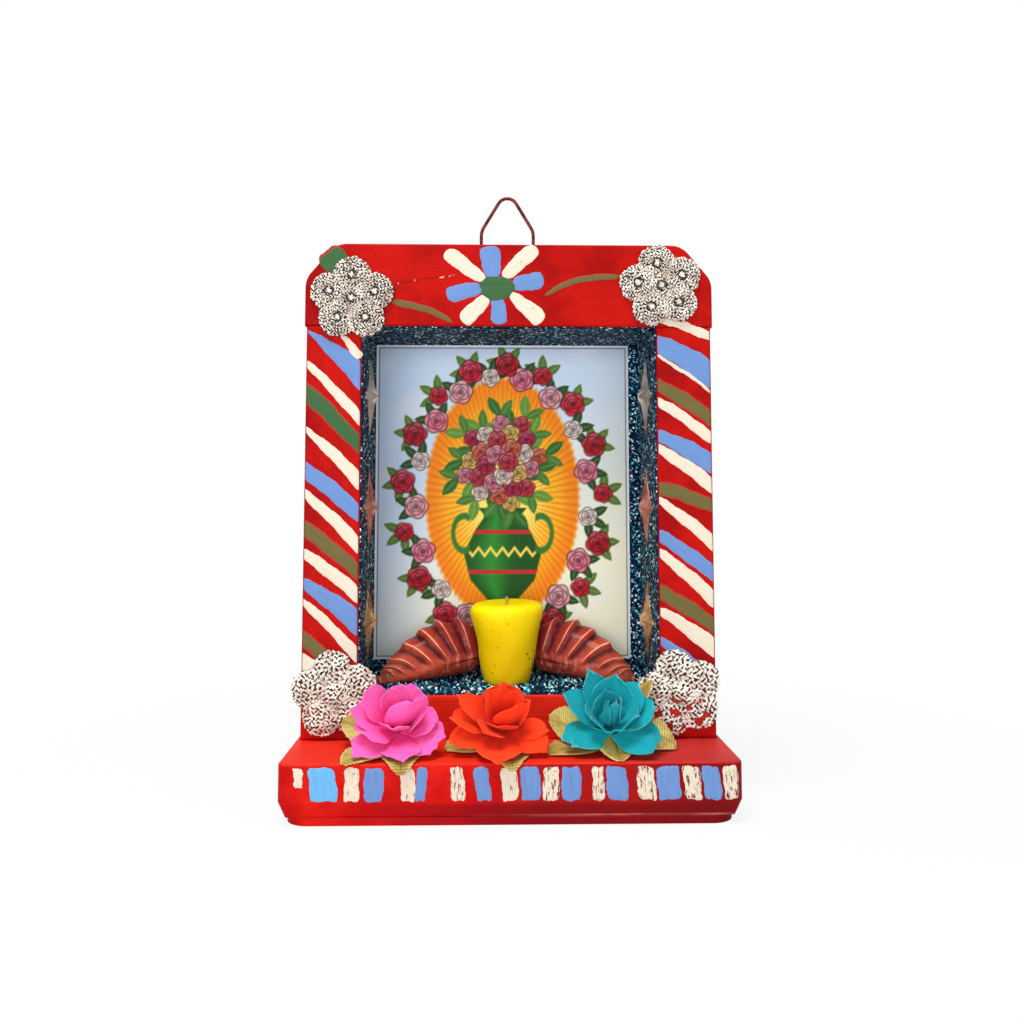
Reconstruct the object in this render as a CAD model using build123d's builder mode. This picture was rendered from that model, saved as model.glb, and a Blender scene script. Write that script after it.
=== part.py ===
from build123d import *
import os
from math import atan2, cos, degrees, pi, radians, sin, tan

# A small painted wall shrine: an open wooden box on a shelf base, lined with glitter card and dressed with
# a print, tin stars, a candle, two toy breads, cloth roses and lace flowers. It hangs by a wire loop.
# Millimetres. X runs to the viewer's right, Y towards the wall and Z up.
# The origin is the centre of the base's underside.

os.makedirs("parts", exist_ok=True)

# Wooden box
frame_width = 140.0
post_width = 19.0
post_depth = 38.0
floor_board_thickness = 14.5
opening_height = 125.5
top_rail_height = 29.0
top_rail_overhang = 0.75
top_clip_width = 10.5
top_clip_height = 12.5
top_clip_radius = 8.0
back_panel_thickness = 3.0
board_softening = 0.8

# Base board
base_thickness = 19.0
base_overhang = 1.5
shelf_reach = 29.0
base_corner_radius = 3.2
base_bevel_height = 4.8
base_bevel_inset = 2.2
base_foot_height = 2.5
base_foot_inset = 1.9
foot_corner_radius = 7.5
base_softening = 0.8

# Nails of the box, and the thinner ones of the back panel
nail_length = 44.0
nail_head_radius = 1.6
nail_shank_radius = 0.9
brad_length = 14.0
brad_head_radius = 1.3
brad_shank_radius = 0.6
nail_head_thickness = 0.9
nail_point_length = 2.5
nail_sink = 0.3
nail_play = 0.1
nail_margin = 9.0
top_nail_inset = 4.0
base_nail_embed = 12.0
floor_nail_spacing = 54.0
brad_margin = 22.0
rail_brad_spacing = 62.0

# Glitter lining and print
lining_thickness = 0.5
print_thickness = 0.4
print_gap_left = 0.4
print_gap_right = 4.1
print_gap_top = 0.4
print_gap_bottom = 5.5

# Tin stars on the side walls
star_reach_up = 14.0
star_reach_across = 13.0
star_waist = 6.3
star_thickness = 0.4
star_boss_radius = 3.6
star_boss_height = 0.9
star_spacing = 40.3

# Candle
candle_x = -0.5
candle_wall_gap = 18.0
candle_foot_radius = 8.8
candle_top_radius = 13.1
candle_height = 28.5
candle_rim_radius = 2.4
candle_dish_margin = 3.0
candle_dish_depth = 1.2
candle_dish_middle = 0.75
wick_radius = 0.6
wick_length = 10.0
wick_embed = 6.0
wick_play = 0.1

# Toy breads
bread_length = 36.0
bread_width = 17.5
bread_height = 21.0
bread_ribs = 7
bread_rib_depth = 0.05
bread_blunt_end = 0.22
bread_tip_end = 0.96
bread_turn = 22.0
bread_bow = 0.8
bread_candle_gap = 3.2
bread_wall_gap = 6.5
bread_shoulder_width = 0.84
bread_shoulder_height = 0.6

# Cloth roses
rose_reach = 15.6
rose_gap = 2.6
rose_row_shift = -2.0
rose_tilt = 40.0
rose_overhang = 1.2
rose_seat_gap = 0.3
petal_thickness = 0.6
petal_fullness = 1.22
petal_tip_trim = 0.35
rose_core_radius = 4.0
outer_petals = 5
outer_curl = 42.0
outer_wall = 1.0
middle_petals = 5
middle_reach = 12.4
middle_curl = 80.0
middle_wall = 1.5
inner_petals = 4
inner_reach = 8.4
inner_core_radius = 3.0
inner_curl = 88.0
inner_wall = 4.5
bud_foot_radius = 2.4
bud_belly_radius = 3.9
bud_belly_height = 5.2
bud_height = 11.5
bud_foot_lean = 0.5
bud_tip_lean = 0.8
calyx_foot_radius = 3.2
leaf_length = 22.5
leaf_half_width = 5.2
leaf_thickness = 0.4
leaf_root_height = 2.6

# Lace flowers on the corners
lace_petals = 5
lace_reach = 14.8
lace_petal_radius = 6.6
lace_thickness = 0.9
lace_dome_radius = 5.9
lace_dome_height = 1.7
lace_bead_radius = 1.8
lace_bead_rise = 1.1
lace_eye_radius = 2.2
lace_shelf_gap = 0.3
lace_upper_left_inset = 15.6
lace_upper_left_drop = 19.7
lace_upper_right_inset = 17.2
lace_upper_right_drop = 14.9
lace_lower_left_inset = 11.4
lace_lower_right_inset = 12.4

# Hanger: a wire loop in two staples
hanger_wire_radius = 0.65
hanger_half_width = 10.2
hanger_bar_drop = 17.0
hanger_shoulder_rise = 16.0
hanger_tip_rise = 33.0
hanger_foot_bend = 2.5
hanger_shoulder_bend = 7.0
hanger_tip_bend = 4.0
hanger_end_gap = 1.5
hanger_clearance = 0.3
staple_wire_radius = 0.55
staple_spacing = 11.0
staple_bend = 1.0
staple_embed = 8.0
staple_play = 0.1

# Levels and planes of the box
base_width = frame_width + 2 * base_overhang
base_depth = shelf_reach + post_depth + back_panel_thickness
base_front = -base_depth / 2
frame_front = base_front + shelf_reach
frame_back = frame_front + post_depth
panel_back = frame_back + back_panel_thickness
shelf_top = base_thickness
floor_level = shelf_top + floor_board_thickness
ceiling_level = floor_level + opening_height
top_level = ceiling_level + top_rail_height
opening_width = frame_width - 2 * post_width
post_x = opening_width / 2 + post_width / 2
frame_middle = frame_front + post_depth / 2
lining_front = frame_front + board_softening
lining_back = frame_back - lining_thickness
floor_top = floor_level + lining_thickness
ceiling_under = ceiling_level - lining_thickness
wall_x = opening_width / 2 - lining_thickness
nail_rows = (frame_front + nail_margin, frame_back - nail_margin)


def keep(part, name):
    """Label a finished piece and write it to its own file."""
    part.label = name
    export_step(part, f"parts/{name}.step")


def facing_front(y):
    """The upright plane at this depth, with X to the right, Z up and its normal towards the viewer."""
    return Plane.XZ.offset(-y)


def nail_shape(length, head_radius, shank_radius, head_top=0.0, play=0.0):
    """A nail that points down from the origin. With a head top and play it is the hole for that nail."""
    with BuildPart() as nail:
        with BuildSketch(Plane.XZ):
            with BuildLine():
                Polyline(
                    (0, head_top),
                    (head_radius + play, head_top),
                    (head_radius + play, -nail_head_thickness),
                    (shank_radius + play, -nail_head_thickness),
                    (shank_radius + play, nail_point_length - length),
                    (0, -length - play),
                    close=True,
                )
            make_face()
        revolve(axis=Axis.Z)
    return nail.part


def dome_shape(radius, height):
    """A round cap with its flat side at the origin."""
    ball_radius = (radius**2 + height**2) / (2 * height)
    rim_angle = degrees(atan2(ball_radius - height, radius))
    with BuildPart() as dome:
        with BuildSketch(Plane.XZ):
            with BuildLine():
                Line((0, 0), (radius, 0))
                CenterArc((0, height - ball_radius), ball_radius, rim_angle, 90 - rim_angle)
                Line((0, height), (0, 0))
            make_face()
        revolve(axis=Axis.Z)
    return dome.part


def clipped_board(width, bottom, clip_width, front, depth):
    """An upright board up to the box's top, with its two upper corners cut off and softened."""
    half = width / 2
    with BuildPart() as board:
        with BuildSketch(facing_front(front)) as outline:
            with BuildLine():
                Polyline(
                    (-half, bottom),
                    (half, bottom),
                    (half, top_level - top_clip_height),
                    (half - clip_width, top_level),
                    (clip_width - half, top_level),
                    (-half, top_level - top_clip_height),
                    close=True,
                )
            make_face()
            fillet(outline.vertices().sort_by(Axis.Y)[2:], radius=top_clip_radius)
        extrude(amount=-depth)
    return board.part


# Where the nails go
base_nail_length = base_thickness + base_nail_embed
base_nail = nail_shape(base_nail_length, nail_head_radius, nail_shank_radius)
base_nail_hole = nail_shape(base_nail_length, nail_head_radius, nail_shank_radius, nail_sink, nail_play)
top_nail = nail_shape(nail_length, nail_head_radius, nail_shank_radius)
top_nail_hole = nail_shape(nail_length, nail_head_radius, nail_shank_radius, nail_sink, nail_play)
brad = nail_shape(brad_length, brad_head_radius, brad_shank_radius)
brad_hole = nail_shape(brad_length, brad_head_radius, brad_shank_radius, nail_sink, nail_play)

base_nail_places = [(side * post_x, y) for side in (-1, 1) for y in nail_rows]
base_nail_places += [(side * floor_nail_spacing / 2, frame_middle) for side in (-1, 1)]
base_nail_spots = [Location((x, y, nail_sink), (180, 0, 0)) for x, y in base_nail_places]
top_nail_x = opening_width / 2 + top_nail_inset
top_nail_spots = [
    Location((side * top_nail_x, y, top_level - nail_sink)) for side in (-1, 1) for y in nail_rows
]
brad_levels = (shelf_top + brad_margin, (shelf_top + ceiling_level) / 2, ceiling_level - brad_margin)
rail_levels = (shelf_top + floor_board_thickness / 2, ceiling_level + top_rail_height / 2)
brad_places = [(side * post_x, z) for side in (-1, 1) for z in brad_levels]
brad_places += [(side * rail_brad_spacing / 2, z) for side in (-1, 1) for z in rail_levels]
brad_spots = [Location((x, panel_back - nail_sink, z), (-90, 0, 0)) for x, z in brad_places]

# Where the staples go
hanger_y = panel_back + hanger_clearance + hanger_wire_radius
bar_level = top_level - hanger_bar_drop
staple_leg = hanger_wire_radius + hanger_clearance + staple_wire_radius
staple_tip = frame_back - staple_embed
staple_crown = hanger_y + staple_leg
staple_hole_length = panel_back - staple_tip + staple_play
staple_hole_spots = [
    Location((side * staple_spacing / 2, panel_back, bar_level + leg * staple_leg), (90, 0, 0))
    for side in (-1, 1)
    for leg in (-1, 1)
]

def shelf_plan(level, inset, corner_radius):
    """The base's outline at this level, drawn in from its front and its ends, with round front corners."""
    with BuildSketch(Plane.XY.offset(level)) as plan:
        with Locations((0, inset / 2)):
            Rectangle(base_width - 2 * inset, base_depth - inset)
        fillet(plan.vertices().group_by(Axis.Y)[0], radius=corner_radius)
    return plan.sketch


# Base board: a straight edge, a bevel under it, and a thin foot with rounder corners
bevel_top = base_foot_height + base_bevel_height
bevel_corner = base_corner_radius - base_bevel_inset
with BuildPart() as base_shelf:
    extrude(shelf_plan(bevel_top, 0, base_corner_radius), amount=base_thickness - bevel_top)
    fillet(base_shelf.edges().group_by(Axis.Z)[-1].sort_by(Axis.Y)[:-1], radius=base_softening)
    loft(
        [
            shelf_plan(base_foot_height, base_bevel_inset, bevel_corner),
            shelf_plan(bevel_top, 0, base_corner_radius),
        ],
        ruled=True,
    )
    extrude(shelf_plan(0, base_foot_inset, foot_corner_radius), amount=base_foot_height)
    with Locations(*base_nail_spots):
        add(base_nail_hole, mode=Mode.SUBTRACT)
keep(base_shelf.part, "base_shelf")

# Posts
for side, side_name in ((-1, "left"), (1, "right")):
    with BuildPart() as post:
        with BuildSketch(Plane.XY.offset(shelf_top)):
            with Locations((side * post_x, frame_middle)):
                Rectangle(post_width, post_depth)
        extrude(amount=ceiling_level - shelf_top)
        fillet(post.faces().sort_by(Axis.Y)[0].edges(), radius=board_softening)
        with Locations(*base_nail_spots):
            add(base_nail_hole, mode=Mode.SUBTRACT)
        with Locations(*top_nail_spots):
            add(top_nail_hole, mode=Mode.SUBTRACT)
        with Locations(*brad_spots):
            add(brad_hole, mode=Mode.SUBTRACT)
    keep(post.part, f"{side_name}_post")

# Floor board between the posts
with BuildPart() as floor_board:
    with BuildSketch(Plane.XY.offset(shelf_top)):
        with Locations((0, frame_middle)):
            Rectangle(opening_width, post_depth)
    extrude(amount=floor_board_thickness)
    fillet(floor_board.faces().sort_by(Axis.Y)[0].edges(), radius=board_softening)
    with Locations(*base_nail_spots):
        add(base_nail_hole, mode=Mode.SUBTRACT)
    with Locations(*brad_spots):
        add(brad_hole, mode=Mode.SUBTRACT)
keep(floor_board.part, "floor_board")

# Top rail across both posts, with its upper corners cut off
with BuildPart() as top_rail:
    rail_width = frame_width + 2 * top_rail_overhang
    add(clipped_board(rail_width, ceiling_level, top_clip_width, frame_front, post_depth))
    fillet(top_rail.faces().sort_by(Axis.Y)[0].edges(), radius=board_softening)
    with Locations(*top_nail_spots):
        add(top_nail_hole, mode=Mode.SUBTRACT)
    with Locations(*brad_spots):
        add(brad_hole, mode=Mode.SUBTRACT)
    with Locations(*staple_hole_spots):
        Cylinder(
            staple_wire_radius + staple_play,
            staple_hole_length,
            align=(Align.CENTER, Align.CENTER, Align.MIN),
            mode=Mode.SUBTRACT,
        )
keep(top_rail.part, "top_rail")

# Back panel, cut like the top rail
with BuildPart() as back_panel:
    panel_clip = top_clip_width - top_rail_overhang
    add(clipped_board(frame_width, shelf_top, panel_clip, frame_back, back_panel_thickness))
    with Locations(*brad_spots):
        add(brad_hole, mode=Mode.SUBTRACT)
    with Locations(*staple_hole_spots):
        Cylinder(
            staple_wire_radius + staple_play,
            staple_hole_length,
            align=(Align.CENTER, Align.CENTER, Align.MIN),
            mode=Mode.SUBTRACT,
        )
keep(back_panel.part, "back_panel")

# Nails
with BuildPart() as base_nails:
    with Locations(*base_nail_spots):
        add(base_nail)
keep(base_nails.part, "base_nails")

with BuildPart() as top_nails:
    with Locations(*top_nail_spots):
        add(top_nail)
keep(top_nails.part, "top_nails")

with BuildPart() as panel_brads:
    with Locations(*brad_spots):
        add(brad)
keep(panel_brads.part, "panel_brads")

# Glitter lining, five sheets
lining_depth = lining_back - lining_front
lining_middle = (lining_back + lining_front) / 2

with BuildPart() as back_sheet:
    with BuildSketch(facing_front(lining_back)):
        with Locations((0, (floor_level + ceiling_level) / 2)):
            Rectangle(opening_width, opening_height)
    extrude(amount=-lining_thickness)
keep(back_sheet.part, "lining_back")

for sheet_name, sheet_level in (("lining_floor", floor_level), ("lining_top", ceiling_under)):
    with BuildPart() as flat_sheet:
        with BuildSketch(Plane.XY.offset(sheet_level)):
            with Locations((0, lining_middle)):
                Rectangle(opening_width, lining_depth)
        extrude(amount=lining_thickness)
    keep(flat_sheet.part, sheet_name)

for side, side_name in ((-1, "left"), (1, "right")):
    with BuildPart() as side_sheet:
        with BuildSketch(Plane.XY.offset(floor_top)):
            with Locations((side * (wall_x + lining_thickness / 2), lining_middle)):
                Rectangle(lining_thickness, lining_depth)
        extrude(amount=ceiling_under - floor_top)
    keep(side_sheet.part, f"lining_{side_name}")

# Print on the back wall, set to the left
print_left = -wall_x + print_gap_left
print_right = wall_x - print_gap_right
print_bottom = floor_top + print_gap_bottom
print_top = ceiling_under - print_gap_top
with BuildPart() as picture_card:
    with BuildSketch(facing_front(lining_back)):
        with Locations(((print_left + print_right) / 2, (print_bottom + print_top) / 2)):
            Rectangle(print_right - print_left, print_top - print_bottom)
    extrude(amount=print_thickness)
keep(picture_card.part, "picture_card")

# Tin stars: four hollow-sided points and a pressed boss
star_boss = dome_shape(star_boss_radius, star_boss_height)
star_corner = star_waist * cos(pi / 4)
star_middle = (floor_top + ceiling_under) / 2
star_rows = (("upper", 1), ("middle", 0), ("lower", -1))
for side, side_name in ((-1, "left"), (1, "right")):
    for row_name, row in star_rows:
        star_centre = (side * wall_x, frame_middle, star_middle + row * star_spacing)
        star_plane = Plane(star_centre, x_dir=(0, -side, 0), z_dir=(-side, 0, 0))
        with BuildPart(star_plane) as star:
            with BuildSketch(star_plane):
                with BuildLine():
                    for across, up in ((1, 1), (-1, 1), (-1, -1), (1, -1)):
                        ThreePointArc(
                            (across * star_reach_across, 0),
                            (across * star_corner, up * star_corner),
                            (0, up * star_reach_up),
                        )
                make_face()
            extrude(amount=star_thickness)
            with Locations((0, 0, star_thickness)):
                add(star_boss)
        keep(star.part, f"star_{side_name}_{row_name}")

# Candle: a tapered body with a shallow dish and a wick
candle_y = lining_back - candle_wall_gap
candle_foot = Plane((candle_x, candle_y, floor_top), x_dir=(1, 0, 0), z_dir=(0, -1, 0))
candle_axis = Axis((candle_x, candle_y, floor_top), (0, 0, 1))
dish_radius = candle_top_radius - candle_dish_margin
dish_bottom = candle_height - candle_dish_depth
with BuildPart() as candle_wax:
    with BuildSketch(candle_foot) as wax_profile:
        with BuildLine():
            Line((0, 0), (candle_foot_radius, 0))
            Line((candle_foot_radius, 0), (candle_top_radius, candle_height))
            Line((candle_top_radius, candle_height), (dish_radius, candle_height))
            dish_half = candle_height - candle_dish_depth * candle_dish_middle
            ThreePointArc((dish_radius, candle_height), (dish_radius / 2, dish_half), (0, dish_bottom))
            Line((0, dish_bottom), (0, 0))
        make_face()
        fillet(wax_profile.vertices().sort_by(Axis.X)[-1], radius=candle_rim_radius)
    revolve(axis=candle_axis)
    with Locations((candle_x, candle_y, floor_top + dish_bottom - wick_embed)):
        Cylinder(
            wick_radius + wick_play,
            wick_embed + candle_dish_depth,
            align=(Align.CENTER, Align.CENTER, Align.MIN),
            mode=Mode.SUBTRACT,
        )
keep(candle_wax.part, "candle_wax")

with BuildPart() as candle_wick:
    with Locations((candle_x, candle_y, floor_top + dish_bottom - wick_embed)):
        Cylinder(wick_radius, wick_length, align=(Align.CENTER, Align.CENTER, Align.MIN))
keep(candle_wick.part, "candle_wick")


def bread_shape(side):
    """A ribbed horn that lies on the floor: blunt beside the candle, pointed at its outer end."""
    turn = radians(bread_turn)
    along = Vector(side * cos(turn), -sin(turn), 0)
    across = Vector(side * sin(turn), cos(turn), 0)
    end_x = candle_x + side * (candle_foot_radius + bread_candle_gap)
    end = Vector(end_x, lining_back - bread_wall_gap, floor_top)
    stations = 2 * bread_ribs
    with BuildPart() as bread:
        for station in range(stations + 1):
            share = station / stations
            swell = sin(pi * (bread_blunt_end + (bread_tip_end - bread_blunt_end) * share))
            rib = 1 - bread_rib_depth * (station % 2)
            half_width = bread_width / 2 * swell * rib
            height = bread_height * swell * rib
            shoulder = half_width * bread_shoulder_width
            spine = end + along * (bread_length * share) + across * (bread_bow * sin(pi * share))
            section = Plane(spine, x_dir=across, z_dir=along)
            with BuildSketch(section):
                with BuildLine():
                    up = height if section.y_dir.Z > 0 else -height
                    shoulder_up = up * bread_shoulder_height
                    Line((-half_width, 0), (half_width, 0))
                    ThreePointArc((half_width, 0), (shoulder, shoulder_up), (0, up))
                    ThreePointArc((0, up), (-shoulder, shoulder_up), (-half_width, 0))
                make_face()
        loft(ruled=True)
    return bread.part


keep(bread_shape(-1), "bread_left")
keep(bread_shape(1), "bread_right")

# Cloth roses: three rings of petals and a bud, stacked on a calyx that is glued to the shelf
def cup_bend(reach, core, curl, wall):
    """Radius of the bend that takes a cup from its flat core out to its reach, with a straight rim."""
    return (reach - core - wall * cos(radians(curl))) / sin(radians(curl))


tilt = radians(rose_tilt)
outer_bend = cup_bend(rose_reach, rose_core_radius, outer_curl, outer_wall)
outer_rise = outer_bend * (1 - cos(radians(outer_curl))) + outer_wall * sin(radians(outer_curl))
rose_pitch = 2 * rose_reach + rose_gap
rose_y = base_front - rose_overhang + rose_reach * cos(tilt) + outer_rise * sin(tilt)
rose_lift = leaf_thickness + rose_seat_gap + rose_reach * sin(tilt) - outer_rise * cos(tilt)
rose_z = shelf_top + rose_lift
calyx_length = rose_lift / cos(tilt)
calyx_y = rose_y + calyx_length * sin(tilt)


def rose_plane(x, seat, twist):
    """The plane across a rose's stem at this height over the calyx, turned about the stem by this twist."""
    lean = Vector(0, -sin(tilt), cos(tilt))
    right = Vector(1, 0, 0)
    turned = right * cos(radians(twist)) + lean.cross(right) * sin(radians(twist))
    return Plane(Vector(x, rose_y, rose_z) + lean * seat, x_dir=turned, z_dir=lean)


def petal_ring(reach, core, curl, wall, petals):
    """A cup of cloth that curls up from a flat middle at the origin and ends in round petals."""
    bend = cup_bend(reach, core, curl, wall)
    inner = bend - petal_thickness
    petal_radius = petal_fullness * reach * sin(pi / petals) / (1 + sin(pi / petals))
    wall_run = Vector(cos(radians(curl)), sin(radians(curl))) * wall
    with BuildPart() as ring:
        with BuildSketch(Plane.XZ):
            with BuildLine():
                middle = Line((0, 0), (core, 0))
                under = CenterArc((core, bend), bend, -90, curl)
                under_wall = Line(under @ 1, (under @ 1) + wall_run)
                over = CenterArc((core, bend), inner, curl - 90, -curl)
                over_wall = Line((over @ 0) + wall_run, over @ 0)
                Line(under_wall @ 1, over_wall @ 0)
                Line(over @ 1, (0, petal_thickness))
                Line((0, petal_thickness), middle @ 0)
            make_face()
        revolve(axis=Axis.Z)
        with BuildSketch(Plane.XY):
            Circle(core)
            with PolarLocations(reach + petal_tip_trim - petal_radius, petals):
                Circle(petal_radius)
        extrude(amount=bend + wall, mode=Mode.INTERSECT)
    return ring.part


def placed(shape, plane):
    """A copy of a shape that was made at the origin, moved onto this plane."""
    with BuildPart(plane) as copy:
        add(shape)
    return copy.part


def calyx_shape(plane):
    """The tapered cup under the petals, cut flat where it is glued to the shelf."""
    with BuildPart(plane) as calyx:
        Cone(
            calyx_foot_radius,
            rose_core_radius,
            calyx_length + 2 * calyx_foot_radius,
            align=(Align.CENTER, Align.CENTER, Align.MAX),
        )
        split(bisect_by=Plane.XY.offset(shelf_top), keep=Keep.TOP)
    return calyx.part


def leaves_shape(x, calyx, leaves):
    """Pointed leaves that stand out from the calyx, each given by its heading and its rise."""
    with BuildPart() as blades:
        for heading, rise in leaves:
            root_height = leaf_root_height if rise else 0.0
            root = (x, calyx_y - root_height * tan(tilt), shelf_top + root_height)
            out = Vector(cos(radians(heading)), sin(radians(heading)), 0)
            run = out * cos(radians(rise)) + Vector(0, 0, sin(radians(rise)))
            face = Vector(0, 0, cos(radians(rise))) - out * sin(radians(rise))
            with BuildSketch(Plane(root, x_dir=run, z_dir=face)):
                with BuildLine():
                    for edge in (-1, 1):
                        ThreePointArc((0, 0), (leaf_length / 2, edge * leaf_half_width), (leaf_length, 0))
                make_face()
            extrude(amount=leaf_thickness)
        add(calyx, mode=Mode.SUBTRACT)
    return blades.part


outer_ring = petal_ring(rose_reach, rose_core_radius, outer_curl, outer_wall, outer_petals)
middle_ring = petal_ring(middle_reach, rose_core_radius, middle_curl, middle_wall, middle_petals)
inner_ring = petal_ring(inner_reach, inner_core_radius, inner_curl, inner_wall, inner_petals)

# Bud: a narrow foot, a round belly and a drawn-in tip
bud_tip_radius = bud_foot_radius / 2
with BuildPart() as rose_bud:
    with BuildSketch(Plane.XZ):
        with BuildLine():
            Line((0, 0), (bud_foot_radius, 0))
            Spline(
                (bud_foot_radius, 0),
                (bud_belly_radius, bud_belly_height),
                (bud_tip_radius, bud_height),
                tangents=((bud_foot_lean, 1), (-bud_tip_lean, 1)),
            )
            Line((bud_tip_radius, bud_height), (0, bud_height))
            Line((0, bud_height), (0, 0))
        make_face()
    revolve(axis=Axis.Z)

# Each rose: its place in the row, its turn about the stem, and its leaves' headings and rises
roses = (
    ("pink", -1, 12.0, ((233, 0), (276, 0), (166, 14))),
    ("orange", 0, 40.0, ((200, 0), (276, 0))),
    ("turquoise", 1, -20.0, ((212, 0), (275, 0), (346, 0), (34, 42), (173, 16))),
)
for rose_name, row_place, rose_turn, rose_leaves in roses:
    rose_x = rose_row_shift + row_place * rose_pitch
    seats = [petal_thickness * layer for layer in range(4)]
    calyx_part = calyx_shape(rose_plane(rose_x, seats[0], rose_turn))
    half_step = 180 / middle_petals
    keep(calyx_part, f"rose_{rose_name}_calyx")
    keep(leaves_shape(rose_x, calyx_part, rose_leaves), f"rose_{rose_name}_leaves")
    keep(placed(outer_ring, rose_plane(rose_x, seats[0], rose_turn)), f"rose_{rose_name}_outer_petals")
    keep(
        placed(middle_ring, rose_plane(rose_x, seats[1], rose_turn + half_step)),
        f"rose_{rose_name}_middle_petals",
    )
    keep(placed(inner_ring, rose_plane(rose_x, seats[2], rose_turn)), f"rose_{rose_name}_inner_petals")
    keep(placed(rose_bud.part, rose_plane(rose_x, seats[3], rose_turn)), f"rose_{rose_name}_bud")

# Lace flowers: five domed petals, each with a bead, round a larger bead
lace_dome = dome_shape(lace_dome_radius, lace_dome_height)
lace_petal_distance = lace_reach - lace_petal_radius
lace_low = shelf_top + lace_reach + lace_shelf_gap
frame_side = frame_width / 2
lace_flowers = (
    ("upper_left", lace_upper_left_inset - frame_side, top_level - lace_upper_left_drop, 18.0),
    ("upper_right", frame_side - lace_upper_right_inset, top_level - lace_upper_right_drop, 28.0),
    ("lower_left", lace_lower_left_inset - frame_side, lace_low, 24.0),
    ("lower_right", frame_side - lace_lower_right_inset, lace_low, 32.0),
)
for flower_name, flower_x, flower_z, flower_turn in lace_flowers:
    spin = radians(flower_turn)
    flower_plane = Plane((flower_x, frame_front, flower_z), x_dir=(cos(spin), 0, sin(spin)), z_dir=(0, -1, 0))
    with BuildPart(flower_plane) as flower:
        with BuildSketch(flower_plane):
            Circle(lace_petal_distance)
            with PolarLocations(lace_petal_distance, lace_petals):
                Circle(lace_petal_radius)
        extrude(amount=lace_thickness)
        with Locations((0, 0, lace_thickness)):
            with PolarLocations(lace_petal_distance, lace_petals):
                add(lace_dome)
        with Locations((0, 0, lace_thickness + lace_dome_height + lace_bead_rise - lace_bead_radius)):
            with PolarLocations(lace_petal_distance, lace_petals):
                Sphere(lace_bead_radius)
        with Locations((0, 0, lace_thickness)):
            Sphere(lace_eye_radius, arc_size1=0, align=(Align.CENTER, Align.CENTER, Align.MIN))
    keep(flower.part, f"lace_flower_{flower_name}")

# Hanger loop: a bar in the staples, two upright legs and a pointed top
tip_level = top_level + hanger_tip_rise
shoulder_level = top_level + hanger_shoulder_rise
with BuildPart() as hanger_loop:
    with BuildLine(facing_front(hanger_y)) as hanger_path:
        FilletPolyline(
            (hanger_end_gap / 2, bar_level),
            (hanger_half_width, bar_level),
            (hanger_half_width, shoulder_level),
            (0, tip_level),
            (-hanger_half_width, shoulder_level),
            (-hanger_half_width, bar_level),
            (-hanger_end_gap / 2, bar_level),
            radius=(
                hanger_foot_bend,
                hanger_shoulder_bend,
                hanger_tip_bend,
                hanger_shoulder_bend,
                hanger_foot_bend,
            ),
        )
    with BuildSketch(Plane(hanger_path.line @ 0, z_dir=hanger_path.line % 0)):
        Circle(hanger_wire_radius)
    sweep()
keep(hanger_loop.part, "hanger_loop")

# Two staples over the hanger's bar
with BuildPart() as hanger_staples:
    for side in (-1, 1):
        with BuildLine(Plane.YZ.offset(side * staple_spacing / 2)) as staple_path:
            FilletPolyline(
                (staple_tip, bar_level + staple_leg),
                (staple_crown, bar_level + staple_leg),
                (staple_crown, bar_level - staple_leg),
                (staple_tip, bar_level - staple_leg),
                radius=staple_bend,
            )
        with BuildSketch(Plane(staple_path.line @ 0, z_dir=staple_path.line % 0)):
            Circle(staple_wire_radius)
        sweep(path=staple_path.line)
keep(hanger_staples.part, "hanger_staples")
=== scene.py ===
import math

import bpy
import numpy as np
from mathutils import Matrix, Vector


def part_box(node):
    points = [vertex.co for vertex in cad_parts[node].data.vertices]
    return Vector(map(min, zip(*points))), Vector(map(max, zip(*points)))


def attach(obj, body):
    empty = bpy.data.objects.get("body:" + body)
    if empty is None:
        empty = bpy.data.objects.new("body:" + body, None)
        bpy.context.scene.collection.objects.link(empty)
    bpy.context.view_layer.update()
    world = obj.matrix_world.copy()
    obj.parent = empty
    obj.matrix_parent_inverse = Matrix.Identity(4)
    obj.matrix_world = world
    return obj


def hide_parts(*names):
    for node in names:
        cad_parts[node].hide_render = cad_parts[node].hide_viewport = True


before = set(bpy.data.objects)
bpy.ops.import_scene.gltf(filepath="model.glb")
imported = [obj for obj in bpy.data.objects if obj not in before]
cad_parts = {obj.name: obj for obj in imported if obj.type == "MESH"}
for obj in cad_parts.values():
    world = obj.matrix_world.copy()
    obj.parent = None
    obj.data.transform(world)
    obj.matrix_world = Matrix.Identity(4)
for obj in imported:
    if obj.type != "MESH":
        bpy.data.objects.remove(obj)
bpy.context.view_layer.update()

# A small painted wall shrine, dressed around its CAD frame. All shapes are worked out in millimetres in the
# row frame: X to the viewer's right, Y towards the wall, Z up from the underside of the base.
MM = 0.001
SEED = 11


def corners(node):
    """A CAD node's lowest and highest corner in millimetres."""
    low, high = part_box(node)
    return np.array(low) / MM, np.array(high) / MM


# Planes and levels, read from the CAD nodes
FRONT = corners("left_post")[0][1]
SHELF_FRONT = corners("base_shelf")[0][1]
SHELF_TOP = corners("base_shelf")[1][2]
FRAME_SIDE = corners("right_post")[1][0]
OPENING_SIDE = corners("right_post")[0][0]
RAIL_TOP = corners("top_rail")[1][2]
CEILING = corners("lining_top")[0][2]
NICHE_FLOOR = corners("lining_floor")[1][2]
NICHE_SIDE = corners("lining_right")[0][0]
NICHE_FRONT = corners("lining_left")[0][1]
NICHE_BACK = corners("lining_back")[0][1]
BASE_SIDE = corners("base_shelf")[1][0]
# Radii of the boards' softened edges and of the shelf's front corners
BOARD_SOFTENING = 0.8
BASE_CORNER = 3.2


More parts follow.
